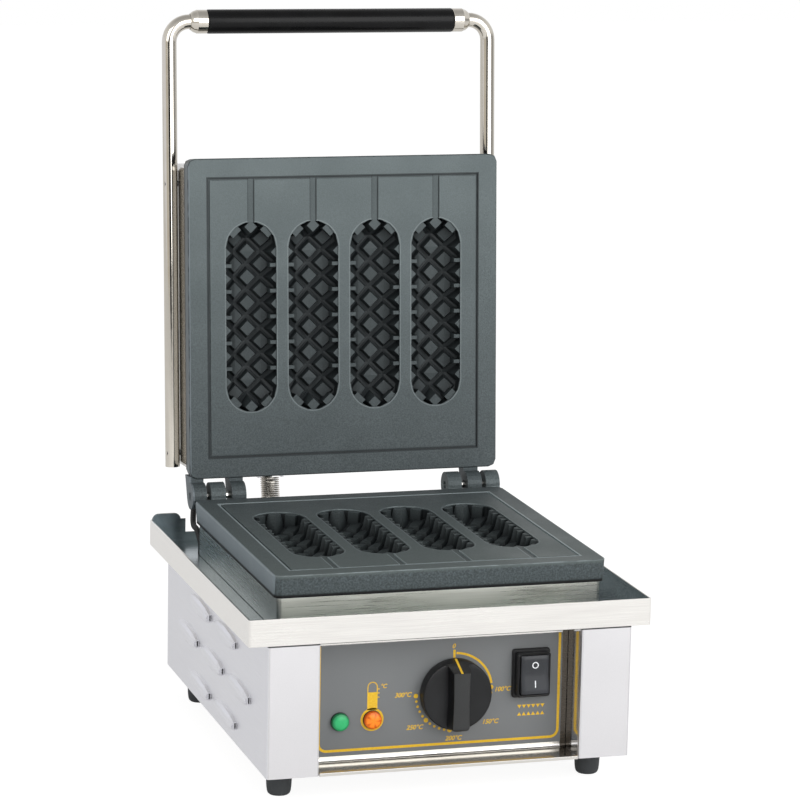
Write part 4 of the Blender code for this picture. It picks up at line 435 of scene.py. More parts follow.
def lamp_lens(name, deep, clear, glow, centre, rays):
    """Tinted polycarbonate lens: clear in the middle, deeper at the edge, with the prisms' shade as rays."""
    settings = {"IOR": 1.45, "Roughness": 0.28, "Specular IOR Level": 0.35, "Emission Strength": glow}
    material, tree, shader = new_material(name, settings)
    place = add_node(tree, "VectorMath", (surface_point(tree), centre), operation="SUBTRACT")
    across, _, up = add_node(tree, "SeparateXYZ", (place,), output=None).outputs
    radius = add_node(tree, "CombineXYZ", {"X": across, "Z": up})
    radius = add_node(tree, "VectorMath", (radius,), output=1, operation="LENGTH")
    shade = edge = add_node(tree, "MapRange", (radius, 4.2 * MM, 6.6 * MM, 0, 0.9))
    if rays:
        turn = product(tree, add_node(tree, "Math", (up, across), operation="ARCTAN2"), rays)
        star = add_node(tree, "Math", (turn,), operation="COSINE")
        star = product(tree, add_node(tree, "MapRange", (star, -0.1, 1, 0, 0.7)),
                       add_node(tree, "MapRange", (radius, 0.8 * MM, 5.0 * MM, 0.25, 1)))
        shade = add_node(tree, "Math", (star, edge), operation="MAXIMUM")
    haze = patches(tree, 1.6 * MM, 3)
    flecks = add_node(tree, "MapRange", (haze, 0.3, 0.7, -0.12, 0.12))
    colour = coated(tree, clear, (add_node(tree, "Math", (shade, flecks), operation="ADD"), deep))
    relief = add_node(tree, "Bump", {"Height": haze, "Distance": 0.05 * MM, "Strength": 0.3})
    set_inputs(tree, shader, {"Base Color": colour, "Emission Color": colour, "Normal": relief})
    return material


def braided_sleeve():
    """Varnished glass-fibre braid: black, with a crossed weave of 1 mm yarns."""
    material, tree, shader = new_material("braided_sleeve", {"IOR": 1.5, "Roughness": 0.6})
    yarns = [add_node(tree, "TexWave", {"Vector": surface_point(tree, (1, slant, 1)), "Scale": 1 / (6 * MM)},
                      output=1, wave_type="BANDS", bands_direction="DIAGONAL") for slant in (1, -1)]
    weave = add_node(tree, "Math", yarns, operation="MAXIMUM")
    relief = add_node(tree, "Bump", {"Height": weave, "Distance": 0.2 * MM, "Strength": 0.8})
    set_inputs(tree, shader, {"Base Color": coated(tree, "#141414", (weave, "#2E2E2E")), "Normal": relief})
    return material


DOWN, FRONTWARD = Vector((0, 0, -1)), Vector((0, -1, 0))
BEHIND = Vector((0, math.cos(LID_TILT), -math.sin(LID_TILT)))
UPWARD = Vector((0, math.sin(LID_TILT), math.cos(LID_TILT)))

# Lower plate: a paler face, with a bright line along its edge, partly wear and partly painted highlight,
# painted highlight on its groove and vent lines, and painted light towards the front and on the left side
LOWER_IRON = sand_cast_iron("lower_cast_iron", DOWN, FRONTWARD, 1.3 * MM, {
    "pale": "#5C6567", "dark": "#414849", "lit_far_end": "#666F6D", "edge": "#828C8E", "groove": "#9BA6A8",
    "left_side": "#869197"})

# Upper plate: a darker face, with painted shade in its grooves and vent lines, a dark line along its edge,
# and painted light towards the top and on the left side
UPPER_IRON = sand_cast_iron("upper_cast_iron", BEHIND, UPWARD, 0.95 * MM, {
    "pale": "#50595B", "dark": "#393F41", "lit_far_end": "#6A7475", "edge": "#262B2D", "groove": "#262B2D",
    "left_side": "#6F777C"})

# Parts of the sheets and of the knob that look different, from corner to corner; the posts, the strip under
# the tray, the tray's inside and the strip beside the panel carry painted shade
POSTS = ((0, -0.20, 0.02), (0.15, TRAY_LOW.y + 0.9 * MM, TRAY_LOW.z))
UNDER_TRAY = ((0, -0.20, TRAY_LOW.z - 1.2 * MM), (0.14, -0.14, TRAY_LOW.z))
RECESS_SIDES = ((0.0975, -0.184, 0.02), (0.1006, -0.14, 0.13))
TRAY_INSIDE = ((0, TRAY_LOW.y + 1.4 * MM, TRAY_LOW.z + 0.6 * MM),
               (TRAY_HIGH.x - 1.2 * MM, TRAY_HIGH.y - 1 * MM, TRAY_HIGH.z - 0.3 * MM))
BESIDE_PANEL = ((PANEL_HIGH.x, -0.17, 0.02), (0.105, -0.14, 0.13))
RIDGE_CROWN = ((0, KNOB_FACE - KNOB_RIDGE - MM, 0.02), (0.03, KNOB_FACE - KNOB_RIDGE + 0.5 * MM, 0.12))

# Side walls and posts: pale, brushed from front to back, with painted shade on the posts' fronts and a
# painted black line of shadow under the tray
WALL_STEEL = brushed_stainless("wall_stainless", "Y", "#E5E5E9", "#DBDBDF", 0.32, 0.42, polished=RECESS_SIDES,
                               shaded=((*POSTS, "#CDC9C6", 0.32), (*UNDER_TRAY, "#141414", 0.9)))

# Drip tray: bright, brushed from side to side, with a blue-grey painted shade inside
TRAY_STEEL = brushed_stainless("tray_stainless", "X", "#F3F1ED", "#E6E3DF", 0.18, 0.28,
                               shaded=((*TRAY_INSIDE, "#85949D", 0.85),))

# Lid casing: mid grey, brushed up and down
CASING_STEEL = brushed_stainless("casing_stainless", "Z", "#C9C7C3", "#B9B7B2", 0.18, 0.28)

# Collar under the lower plate: pale with a green cast, brushed level all round
PLINTH_STEEL = brushed_stainless("plinth_stainless", "XY", "#E4E5DE", "#D6D8D0", 0.22, 0.34)

# Recessed front sheet: bright, but brown in the shadow beside the panel
FASCIA_STEEL = brushed_stainless("fascia_stainless", "X", "#F6F4F0", "#EEECE8", 0.22, 0.30,
                                 shaded=((*BESIDE_PANEL, "#3A2F1C", 0.92),))
PAN_STEEL = pan_steel()

# Polished nickel-chrome steel: mirror bright, with the faint haze of handling
BRIGHT = mottled("bright_steel", 12 * MM, 4, None, None, (0.08, 0.17),
                 {"Metallic": 1.0, "Base Color": "#DAD8D4"})

# Drawn rod with a warm bright nickel plate: mirror-like, with faint draw lines and a creamy cast
PLATED_ROD = mottled("nickel_plated_rod", 10 * MM, 4, "#C9C3B8", "#D6D1C8", (0.05, 0.11), {"Metallic": 1.0})

# Hard drawn nickelled spring wire: bright, with fine draw marks
WIRE = mottled("spring_wire", 0.8 * MM, 3, "#B5B0A8", "#D8D4CC", (0.20, 0.34), {"Metallic": 1.0})

# Heat-tinted alloy tube and plain zinc-plated hardware: dull grey with straw and blue patches
ELEMENT = mottled("element_steel", 15 * MM, 3, "#76716C", "#8E9096", (0.35, 0.55), {"Metallic": 1.0})

# Nitrile rubber: charcoal, matt, with dust in the pores
RUBBER = mottled("foot_rubber", 1.0 * MM, 4, "#343638", "#474A4C", (0.62, 0.80),
                 {"IOR": 1.52, "Specular IOR Level": 0.3}, (0.08 * MM, 0.5))

# Unglazed steatite: warm white and dry, with pressed specks
CERAMIC = mottled("fired_ceramic", 1.4 * MM, 4, "#CFC8B8", "#E4DFD2", (0.55, 0.75), {"IOR": 1.6})

# Pressed mineral wool: matt, buff, with tangled fibres
WOOL = mottled("mineral_wool", 3 * MM, 5, "#A89B80", "#D8CFB8", None, {"IOR": 1.45, "Roughness": 0.95},
               (0.6 * MM, 0.8), 0.7, (1, 3, 1))

# Knob, switch frame and lamp collars: near black with a soft sheen, grey on the knob's crown
KNOB_PLASTIC = moulded_plastic("knob_thermoset", "#0E0E0F", "#17181A", 0.28, 0.42, worn=RIDGE_CROWN)

# Grip: deep black and glossier
GRIP_PLASTIC = moulded_plastic("grip_thermoset", "#0A0A0B", "#101011", 0.22, 0.32,
                               depth=0.01 * MM, level=0.16)

# Switch paddle: satin charcoal
PADDLE_PLASTIC = moulded_plastic("paddle_polycarbonate", "#2B2D30", "#36383C", 0.34, 0.46)
FILM = printed_film()
SLEEVE = braided_sleeve()

# Signs: flat golden yellow on the panel, flat white on the paddle
YELLOW_INK = screen_ink("yellow_ink", "#DBAC24", "#E8BE36")
WHITE_INK = screen_ink("white_ink", "#DADDE0", "#F2F4F6")

# Lenses: emerald and even, and orange with five darker rays
GREEN_GLASS = lamp_lens("green_lens", "#14633A", "#34AE6C", 0.12, LAMP_CENTRES["green"], 0)
ORANGE_GLASS = lamp_lens("orange_lens", "#A83A08", "#F58420", 0.22, LAMP_CENTRES["orange"], 5)

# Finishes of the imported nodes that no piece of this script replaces
CAD_FINISHES = {
    CASING_STEEL: ("lid_casing",),
    LOWER_IRON: ("lower_plate",),
    UPPER_IRON: ("upper_plate",),
    WALL_STEEL: ("left_side_panel", "right_side_panel", "rear_panel", "lid_spring_bracket",
                 "base_spring_bracket"),
    TRAY_STEEL: ("top_tray",),
    PAN_STEEL: ("base_pan",),
    FASCIA_STEEL: ("control_fascia",),
    PLINTH_STEEL: ("plinth",),
    BRIGHT: ("hinge_pin_left", "hinge_pin_right", "thermostat_shaft"),
    CERAMIC: ("thermostat", "terminal_block"),
    WOOL: ("lower_insulation", "upper_insulation"),
    KNOB_PLASTIC: ("green_lamp_body", "orange_lamp_body"),
    FILM: ("control_overlay",),
}


def finish_cad_nodes():
    """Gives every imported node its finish; small hardware is zinc-plated."""
    for name, obj in frame["nodes"].items():
        found = next((finish for finish, names in CAD_FINISHES.items() if name in names), ELEMENT)
        for slot in obj.material_slots:
            slot.material = found


def soften_edges(name, width):
    """Joins a node's split vertices and rounds its corners, as rolled sheet and castings have them."""
    obj = frame["nodes"][name]
    weld = obj.modifiers.new("weld", "WELD")
    weld.merge_threshold = 0.01 * MM
    bevel = obj.modifiers.new("edge", "BEVEL")
    bevel.width = width
    bevel.segments = 2
    bevel.limit_method = "ANGLE"
    bevel.angle_limit = math.radians(35)
    bevel.harden_normals = True


# Mesh tools

def new_object(name, data):
    """Puts a mesh, curve, light or camera into the scene as an object."""
    obj = bpy.data.objects.new(name, data)
    bpy.context.scene.collection.objects.link(obj)
    return obj


def new_mesh(name, bm):
    """A mesh object from a bmesh, which is then freed."""
    mesh = bpy.data.meshes.new(name)
    bm.to_mesh(mesh)
    bm.free()
    return new_object(name, mesh)


def add_piece(name, bm, material, body, smooth=True):
    """Makes a piece from a bmesh in the row frame, and lets it move with a body."""
    bmesh.ops.recalc_face_normals(bm, faces=bm.faces)
    obj = new_mesh(name, bm)
    obj.data.materials.append(material)
    if smooth:
        obj.data.shade_smooth()
        obj.data.set_sharp_from_angle(angle=math.radians(32))
    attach(obj, body)
    return obj


def put_loft(bm, loops, closed_ends=True):
    """Joins closed loops of equal length with quads."""
    rings = [[bm.verts.new(p) for p in loop] for loop in loops]
    count = len(rings[0])
    for ring, following in zip(rings, rings[1:]):
        for i in range(count):
            j = (i + 1) % count
            bm.faces.new((ring[i], ring[j], following[j], following[i]))
    if closed_ends:
        bm.faces.new(rings[0])
        bm.faces.new(list(reversed(rings[-1])))


def circle(centre, side, other, radius, sides):
    """Points on a circle in the plane of two directions."""
    turns = (2 * math.pi * k / sides for k in range(sides))
    return [centre + (side * math.cos(t) + other * math.sin(t)) * radius for t in turns]


def put_turned(bm, profile, centre, axis, sides=48):
    """Revolves a profile of (radius, distance along axis) round an axis through centre.

    A radius of 0 at an end closes the piece there; otherwise the profile is a closed ring.
    """
    axis = Vector(axis).normalized()
    side = axis.orthogonal().normalized()
    other = axis.cross(side)
    rings = []
    for radius, along in profile:
        middle = Vector(centre) + axis * along
        if radius == 0:
            rings.append([bm.verts.new(middle)])
            continue
        rings.append([bm.verts.new(point) for point in circle(middle, side, other, radius, sides)])
    pairs = list(zip(rings, rings[1:]))
    if len(rings[0]) > 1:
        pairs.append((rings[-1], rings[0]))
    for ring, following in pairs:
        for i in range(sides):
            j = (i + 1) % sides
            corners = [ring[i % len(ring)], ring[j % len(ring)], following[j % len(following)],
                       following[i % len(following)]]
            bm.faces.new(list(dict.fromkeys(corners)))


def put_tube(bm, points, radius, sides):
    """A round tube of equal rings along a line of points, with flat ends."""
    points = [Vector(p) for p in points]
    runs = [(b - a).normalized() for a, b in zip(points, points[1:])]
    side = runs[0].orthogonal().normalized()
    loops = []
    for i, point in enumerate(points):
        run = (runs[max(i - 1, 0)] + runs[min(i, len(runs) - 1)]).normalized()
        side = (side - run * side.dot(run)).normalized()
        other = run.cross(side)
        loops.append(circle(point, side, other, radius, sides))
    put_loft(bm, loops)


def cut_flat(bm, place, outward):
    """Cuts a closed piece by a plane, and closes the cut with one face."""
    everything = [*bm.verts, *bm.edges, *bm.faces]
    cut = bmesh.ops.bisect_plane(bm, geom=everything, dist=0.001 * MM, plane_co=place, plane_no=outward,
                                 clear_outer=True)["geom_cut"]
    bmesh.ops.holes_fill(bm, edges=[e for e in cut if isinstance(e, bmesh.types.BMEdge)])


def smooth_route(points, count):
    """Points along a Catmull-Rom curve through the given ones."""
    route = [Vector(p) for p in points]
    ends = [2 * route[0] - route[1], *route, 2 * route[-1] - route[-2]]
    result = []
    for i in range(count):
        place = i / (count - 1) * (len(route) - 1)
        k = min(int(place), len(route) - 2)
        t = place - k
        a, b, c, d = ends[k:k + 4]
        result.append((2 * b + (c - a) * t + (2 * a - 5 * b + 4 * c - d) * t ** 2
                       + (3 * b - a - 3 * c + d) * t ** 3) / 2)
    return result


def rounded_rectangle(half_width, half_height, radius, steps=6):
    """Outline of a rectangle with round corners about the origin."""
    points = []
    for quarter, (sx, sy) in enumerate(((1, 1), (-1, 1), (-1, -1), (1, -1))):
        for k in range(steps + 1):
            angle = (quarter + k / steps) * math.pi / 2
            points.append((sx * (half_width - radius) + radius * math.cos(angle),
                           sy * (half_height - radius) + radius * math.sin(angle)))
    return points


# Printed panel

def put_ink(bm, outline):
    """A flat printed shape on the panel from an outline of (x, z)."""
    put_loft(bm, [[(x, y, z) for x, z in outline] for y in (PANEL_Y, PANEL_Y - INK)])


def arc(centre, radius, start, end, steps):
    """Points on an arc; the angle is clockwise from straight up, in degrees."""
    angles = (math.radians(start + (end - start) * k / steps) for k in range(steps + 1))
    return [(centre[0] + radius * math.sin(a), centre[1] + radius * math.cos(a)) for a in angles]


def band(outer, inner):
    """A strip between two lines of equal length."""
    return [*outer, *reversed(inner)]


def put_dot(bm, x, z, radius):
    """A round printed dot."""
    put_ink(bm, arc((x, z), radius, 0, 342, 19))


def add_label(name, text, x, z, size):
    """Slanted lettering centred on a point of the panel, as a thin mesh."""
    curve = bpy.data.curves.new(name, "FONT")
    curve.body = text
    curve.size = size
    curve.shear = LABEL_SLANT
    curve.align_x = "CENTER"
    curve.align_y = "CENTER"
    curve.extrude = INK / 2
    curve.offset = size * 0.02
    guide = new_object(name + "_guide", curve)
    mesh = bpy.data.meshes.new_from_object(guide.evaluated_get(bpy.context.evaluated_depsgraph_get()))
    bpy.data.objects.remove(guide, do_unlink=True)
    bm = bmesh.new()
    bm.from_mesh(mesh)
    bpy.data.meshes.remove(mesh)
    bm.transform(Matrix.Translation((x, PANEL_Y - INK / 2, z)) @ Matrix.Rotation(math.pi / 2, 4, "X"))
    add_piece(name, bm, YELLOW_INK, "base", smooth=False)


def add_border():
    """One line round the left side, the foot and the right side of the panel."""
    half = BORDER_WIDTH / 2
    sides = []
    for grow in (half, -half):
        x, z, r = BORDER_X + grow, BORDER_Z - grow, BORDER_CORNER + grow
        left = arc((-x + r, z + r), r, 270, 180, 8)
        right = arc((x - r, z + r), r, 180, 90, 8)
        sides.append([(-x, PANEL_HIGH.z), *left, *right, (x, PANEL_HIGH.z)])
    bm = bmesh.new()
    put_ink(bm, band(*sides))
    add_piece("panel_border", bm, YELLOW_INK, "base", smooth=False)


def add_dial_marks():
    """Arc from 0 to 100, dots from 100 round to 300, and the tick under the 0."""
    centre = (DIAL.x, DIAL.z)
    bm = bmesh.new()
    half = 0.85 * MM
    edges = [arc(centre, DIAL_ARC_RADIUS + grow, 3, 80, 24) for grow in (half, -half)]
    put_ink(bm, band(*edges))
    tick_half, tick_low, tick_high = 0.9 * MM, DIAL.z + 26.2 * MM, DIAL.z + 32.2 * MM
    put_ink(bm, [(DIAL.x - tick_half, tick_low), (DIAL.x + tick_half, tick_low),
                 (DIAL.x + tick_half, tick_high), (DIAL.x - tick_half, tick_high)])
    big, small = 1.75 * MM, 1.0 * MM
    for stop in DIAL_STOPS:
        put_dot(bm, *arc(centre, DIAL_DOT_RADIUS, stop, stop, 1)[0], big)
    for first, last in zip(DIAL_STOPS, DIAL_STOPS[1:]):
        count = round((last - first) / 8.25)
        for k in range(1, count):
            angle = first + (last - first) * k / count
            put_dot(bm, *arc(centre, DIAL_DOT_RADIUS, angle, angle, 1)[0], small)
    add_piece("dial_marks", bm, YELLOW_INK, "base", smooth=False)
    for text, x, z in DIAL_LABELS:
        add_label("dial_label_" + text.split("°")[0], text, DIAL.x + x * MM, DIAL.z + z * MM, LABEL_SIZE)


def add_thermometer():
    """A ring round the orange lamp with a filled stem, a clear cap and a scale beside it."""
    lamp_x, _, lamp_z = LAMP_CENTRES["orange"]
    bm = bmesh.new()
    ring, half = 7.9 * MM, 0.85 * MM
    for start in (0, 180):
        put_ink(bm, band(arc((lamp_x, lamp_z), ring + half, start, start + 180, 24),
                         arc((lamp_x, lamp_z), ring - half, start, start + 180, 24)))
    stem, fill, top, line = 3.9 * MM, 74.7 * MM, 82.6 * MM, 0.35 * MM
    foot = lamp_z + math.sqrt((ring + half / 2) ** 2 - stem ** 2)
    put_ink(bm, [(lamp_x - stem, foot), (lamp_x + stem, foot), (lamp_x + stem, fill), (lamp_x - stem, fill)])
    walls = []
    for half in (stem, stem - 2 * line):
        cap = arc((lamp_x, top - stem), half, -90, 90, 12)
        walls.append([(lamp_x - half, fill), *cap, (lamp_x + half, fill)])
    put_ink(bm, band(*walls))
    for z in (70.4 * MM, 73.5 * MM, 76.6 * MM):
        x = lamp_x + stem
        put_ink(bm, [(x, z), (x + 1.5 * MM, z), (x + 1.5 * MM, z + 2 * line), (x, z + 2 * line)])
    add_piece("thermometer_mark", bm, YELLOW_INK, "base", smooth=False)
    add_label("thermometer_unit", "°C", lamp_x + 8.2 * MM, 78.7 * MM, 4.4 * MM)


def add_fascia_foot():
    """The folded foot of the fascia, a small round that meets the pan."""
    low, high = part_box("control_fascia")
    foot = low.z - PAN_GAP
    round_foot = ((0, 2.2), (-0.25, 1.3), (-0.9, 0.55), (-1.9, 0.15), (-1.9, 0.05), (0, 0.05))
    bm = bmesh.new()
    put_loft(bm, [[(x, FASCIA_Y + y * MM, foot + z * MM) for y, z in round_foot] for x in (low.x, high.x)])
    add_piece("fascia_foot", bm, FASCIA_STEEL, "base")


def add_heater_mark():
    """Two rows of small triangles, point to point, under the switch."""
    bm = bmesh.new()
    count, width, height, middle = 6, 21.6 * MM, 2.7 * MM, ROCKER.x + 1.3 * MM
    pitch = width / count
    for level, point in ((58.0 * MM, -height), (49.7 * MM, height)):
        for k in range(count):
            x = middle + (k - (count - 1) / 2) * pitch
            half = pitch * 0.45
            put_ink(bm, [(x - half, level), (x + half, level), (x, level + point)])
    add_piece("heater_mark", bm, YELLOW_INK, "base", smooth=False)


# Knob, switch and lamps

def add_knob_disc():
    """A thick disc, cut back by the pointer's facet."""
    edge = 1.3 * MM
    turns = [math.pi / 8 * k for k in range(5)]
    rim = [(KNOB_RADIUS - edge * (1 - math.cos(a)), KNOB_DISC - edge * (1 - math.sin(a))) for a in turns]
    dish = [(KNOB_RADIUS * 0.8, KNOB_DISC - 0.25 * MM), (0, KNOB_DISC - 0.5 * MM)]
    bm = bmesh.new()
    put_turned(bm, [(0, 0), (KNOB_RADIUS, 0), *rim, *dish], (DIAL.x, KNOB_FACE, DIAL.z), (0, -1, 0), 96)
    cut_flat(bm, FACET_FOOT, FACET_OUT)
    disc = add_piece("knob_disc", bm, KNOB_PLASTIC, "knob")
    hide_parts("thermostat_knob")


def add_knob_ridge():
    """The grip ridge: waisted in the middle, round at its lower end, cut by the same facet."""
    upper_end, stations, round_end, soft = KNOB_RADIUS, 32, 3.0 * MM, 1.1 * MM
    low = KNOB_DISC - 2 * MM
    loops = []
    for k in range(stations + 1):
        z = KNOB_RIDGE_END + (upper_end - KNOB_RIDGE_END) * (k / stations) ** 1.3
        inset = max(0.0, round_end - (z - KNOB_RIDGE_END))
        pinch = round_end - math.sqrt(round_end ** 2 - inset ** 2)
        waist = KNOB_WAIST * max(0.0, 1 - (z / upper_end) ** 2)
        foot, top = KNOB_RIDGE_FOOT - waist - pinch, KNOB_RIDGE_TOP - waist - pinch
        crown = KNOB_RIDGE - 0.5 * pinch
        half = [(foot, low), (top, crown - soft), (top - 0.3 * soft, crown - 0.3 * soft), (top - soft, crown)]
        section = [*((-x, rise) for x, rise in half), *reversed(half)]
        loops.append([(DIAL.x + x, KNOB_FACE - rise, DIAL.z + z) for x, rise in section])
    bm = bmesh.new()
    put_loft(bm, loops)
    cut_flat(bm, FACET_FOOT + FACET_OUT * 0.03 * MM, FACET_OUT)
    add_piece("knob_ridge", bm, KNOB_PLASTIC, "knob")


def add_knob_pointer():
    """The printed pointer line, which runs up the facet."""
    half, lift = KNOB_POINTER / 2, FACET_OUT * 0.08 * MM
    ends = [FACET_FOOT.lerp(FACET_TOP, share) for share in (0.02, 0.985)]
    sides = ((-1, 1), (1, 1), (1, -3), (-1, -3))
    corners = [lift * level + Vector((side * half, 0, 0)) for side, level in sides]
    bm = bmesh.new()
    put_loft(bm, [[end + corner for corner in corners] for end in ends])
    add_piece("knob_pointer", bm, YELLOW_INK, "knob", smooth=False)


def add_switch_frame():
    """The switch's housing, with a stepped, rounded collar round a deep well."""
    middle, outer = middle_and_half("switch_housing")
    well = Vector((PADDLE_HALF_WIDTH + PADDLE_GAP, 0, PADDLE_HALF_HEIGHT + PADDLE_GAP))
    back = PANEL_Y - 0.3 * MM
    steps = ((outer, 0, 2.2, 0.0), (outer, 0, 2.2, 1.6), (outer, 0.6, 2.0, 2.2), (outer, 1.8, 2.0, 2.3),
             (outer, 1.8, 2.0, 8.6), (outer, 2.7, 1.6, 9.5), (well, 0, 1.2, 9.4), (well, 0, 1.2, 1.0))
    loops = []
    for half, inset, corner, rise in steps:
        outline = rounded_rectangle(half.x - inset * MM, half.z - inset * MM, corner * MM)
        loops.append([(middle.x + x, back - rise * MM, middle.z + z) for x, z in outline])
    bm = bmesh.new()
    put_loft(bm, loops)
    housing = add_piece("switch_frame", bm, KNOB_PLASTIC, "base")
    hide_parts("switch_housing")


def paddle_face(z):
    """Where the paddle's face lies at a height: it has a soft crease across the middle."""
    return PADDLE_FRONT + PADDLE_DISH * (1 - abs(z) / PADDLE_HALF_HEIGHT)


def add_switch_paddle():
    """The rocker's paddle: a creased face with soft corners, and a skirt into the well."""
    rows, columns = 16, 12
    bm = bmesh.new()
    grid = {}
    for k, c in itertools.product(range(rows + 1), range(columns + 1)):
        x = -PADDLE_HALF_WIDTH + 2 * PADDLE_HALF_WIDTH * c / columns
        z = PADDLE_HALF_HEIGHT - 2 * PADDLE_HALF_HEIGHT * k / rows
        past_x = max(0.0, abs(x) - (PADDLE_HALF_WIDTH - PADDLE_CORNER))
        past_z = max(0.0, abs(z) - (PADDLE_HALF_HEIGHT - PADDLE_CORNER))
        drop = (past_x ** 2 + past_z ** 2) / PADDLE_CORNER * 0.6
        grid[k, c] = bm.verts.new((x, paddle_face(z) + drop, z))
    for k, c in itertools.product(range(rows), range(columns)):
        bm.faces.new((grid[k, c], grid[k, c + 1], grid[k + 1, c + 1], grid[k + 1, c]))
    skirt = bmesh.ops.extrude_edge_only(bm, edges=[e for e in bm.edges if e.is_boundary])["geom"]
    for vert in (v for v in skirt if isinstance(v, bmesh.types.BMVert)):
        vert.co.y = PADDLE_FRONT + PADDLE_SKIRT
        vert.co.z *= 0.94
    bmesh.ops.holes_fill(bm, edges=[e for e in bm.edges if e.is_boundary])
    bm.transform(PADDLE_PLACE)
    paddle = add_piece("switch_paddle", bm, PADDLE_PLASTIC, "rocker")
    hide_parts("switch_rocker")


def add_switch_marks():
    """The ring and the stroke that mark off and on, printed on the paddle."""
    proud, sunk = -0.06 * MM, 0.3 * MM
    outer, inner = 2.5 * MM, 1.75 * MM
    turns = [math.pi * k / 16 for k in range(32)]
    ring = [[(r * math.sin(a), y, r * math.cos(a)) for a in turns]
            for r, y in ((outer, sunk), (outer, proud), (inner, proud), (inner, sunk), (outer, sunk))]
    bar = rounded_rectangle(0.42 * MM, 2.6 * MM, 0.2 * MM, 2)
    stroke = [[(x, y, z) for x, z in bar] for y in (sunk, proud)]
    lean = math.atan2(PADDLE_DISH, PADDLE_HALF_HEIGHT)
    marks = (("switch_off_mark", 7.3 * MM, ring, False), ("switch_on_mark", -6.9 * MM, stroke, True))
    for name, z, loops, closed_ends in marks:
        bm = bmesh.new()
        put_loft(bm, loops, closed_ends)
        bmesh.ops.remove_doubles(bm, verts=bm.verts, dist=0.001 * MM)
        tilt = Matrix.Rotation(math.copysign(lean, z), 4, "X")
        bm.transform(PADDLE_PLACE @ Matrix.Translation((0, paddle_face(z), z)) @ tilt)
        add_piece(name, bm, WHITE_INK, "rocker", smooth=False)


def add_lamp(colour, glass):
    """A low domed lens, held by a thin collar."""
    centre, half = middle_and_half(f"{colour}_lamp_lens")
    centre.y += half.y
    radius, rise = half.z, 2 * half.y
    dome = ((1.0, 0.0), (1.0, 0.35), (0.93, 0.62), (0.72, 0.80), (0.45, 0.94), (0.18, 1.0))
    up, across, out = Vector((0, 0, 1)), Vector((1, 0, 0)), Vector((0, -1, 0))
    bm = bmesh.new()
    put_loft(bm, [circle(centre + out * rise * level, up, across, radius * share, 36)
                  for share, level in dome])
    lens = add_piece(f"{colour}_lens", bm, glass, "base")
    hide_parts(f"{colour}_lamp_lens")

    inner, outer = radius * 0.7, middle_and_half(f"{colour}_lamp_body")[1].z
    collar = [(inner, 0), (outer - 0.1 * MM, 0), (outer, 0.25 * MM), (outer - 0.1 * MM, 0.75 * MM),
              (outer - 0.5 * MM, 0.85 * MM), (inner, 0.8 * MM)]
    bm = bmesh.new()
    put_turned(bm, collar, (centre.x, PANEL_Y - 0.1 * MM, centre.z), (0, -1, 0), 48)
    add_piece(f"{colour}_lamp_collar", bm, KNOB_PLASTIC, "base")


# Handle, feet, gland, spring and lead

def lid_point(x, s, n):
    """A point of the open lid: s from the hinge line towards the handle, n behind the plate's face."""
    sine, cosine = math.sin(LID_TILT), math.cos(LID_TILT)
    return Vector((x, HINGE.y + s * sine + n * cosine, HINGE.z + s * cosine - n * sine))


def base_point(x, s, n):
    """A point of the lower plate: s from the hinge line towards the front, n below the face."""
    return Vector((x, HINGE.y - s, HINGE.z - n))


def add_rod():
    """One plated rod: up beside the lid, round a bend, through the grip and down the other side."""
    first, last = ROD_RUN
    route = [(-ROD_X, first)]
    for turn, side in ((math.pi, -1), (math.pi / 2, 1)):
        for k in range(13):
            angle = turn - math.pi / 2 * k / 12
            route.append((side * (ROD_X - ROD_BEND) + ROD_BEND * math.cos(angle),
                          last - ROD_BEND + ROD_BEND * math.sin(angle)))
    route.append((ROD_X, first))
    bm = bmesh.new()
    put_tube(bm, [lid_point(x, s, ROD_BEHIND) for x, s in route], ROD_RADIUS, 32)
    rod = add_piece("plated_rod", bm, PLATED_ROD, "lid")
    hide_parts("handle_rod")


def add_grip():
    """Black tube grip with rounded ends, and a bright ferrule that tapers to the rod at each end."""
    centre, (half, _, radius) = middle_and_half("handle_grip")
    bore = 6.1 * MM
    edge = 0.9 * MM
    end = [(radius - edge * (1 - math.cos(a)), half - edge * (1 - math.sin(a)))
           for a in (0, math.pi / 6, math.pi / 3, math.pi / 2)]
    bm = bmesh.new()
    profile = [(bore, -half), *((r, -x) for r, x in reversed(end)), *end, (bore, half)]
    put_turned(bm, profile, centre, (1, 0, 0), 56)
    grip = add_piece("grip_tube", bm, GRIP_PLASTIC, "lid")
    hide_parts("handle_grip")
    for name, side in (("grip_ferrule_left", -1), ("grip_ferrule_right", 1)):
        near, far = sorted(abs(corner.x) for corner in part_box(name))
        wide, tip, cone = radius - 0.2 * MM, 6.4 * MM, far - 5.0 * MM
        profile = [(bore, near), (wide - 0.4 * MM, near), (wide, near + 0.4 * MM), (wide, cone - 0.3 * MM),
                   (wide - 0.3 * MM, cone), ((wide + tip) / 2 + 0.3 * MM, far - 2.4 * MM),
                   (tip + 0.3 * MM, far - 0.4 * MM), (tip - 0.1 * MM, far), (bore, far)]
        bm = bmesh.new()
        put_turned(bm, profile, (0, centre.y, centre.z), (side, 0, 0), 48)
        ferrule = add_piece(name.replace("grip_", "") + "_cap", bm, PLATED_ROD, "lid")
        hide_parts(name)


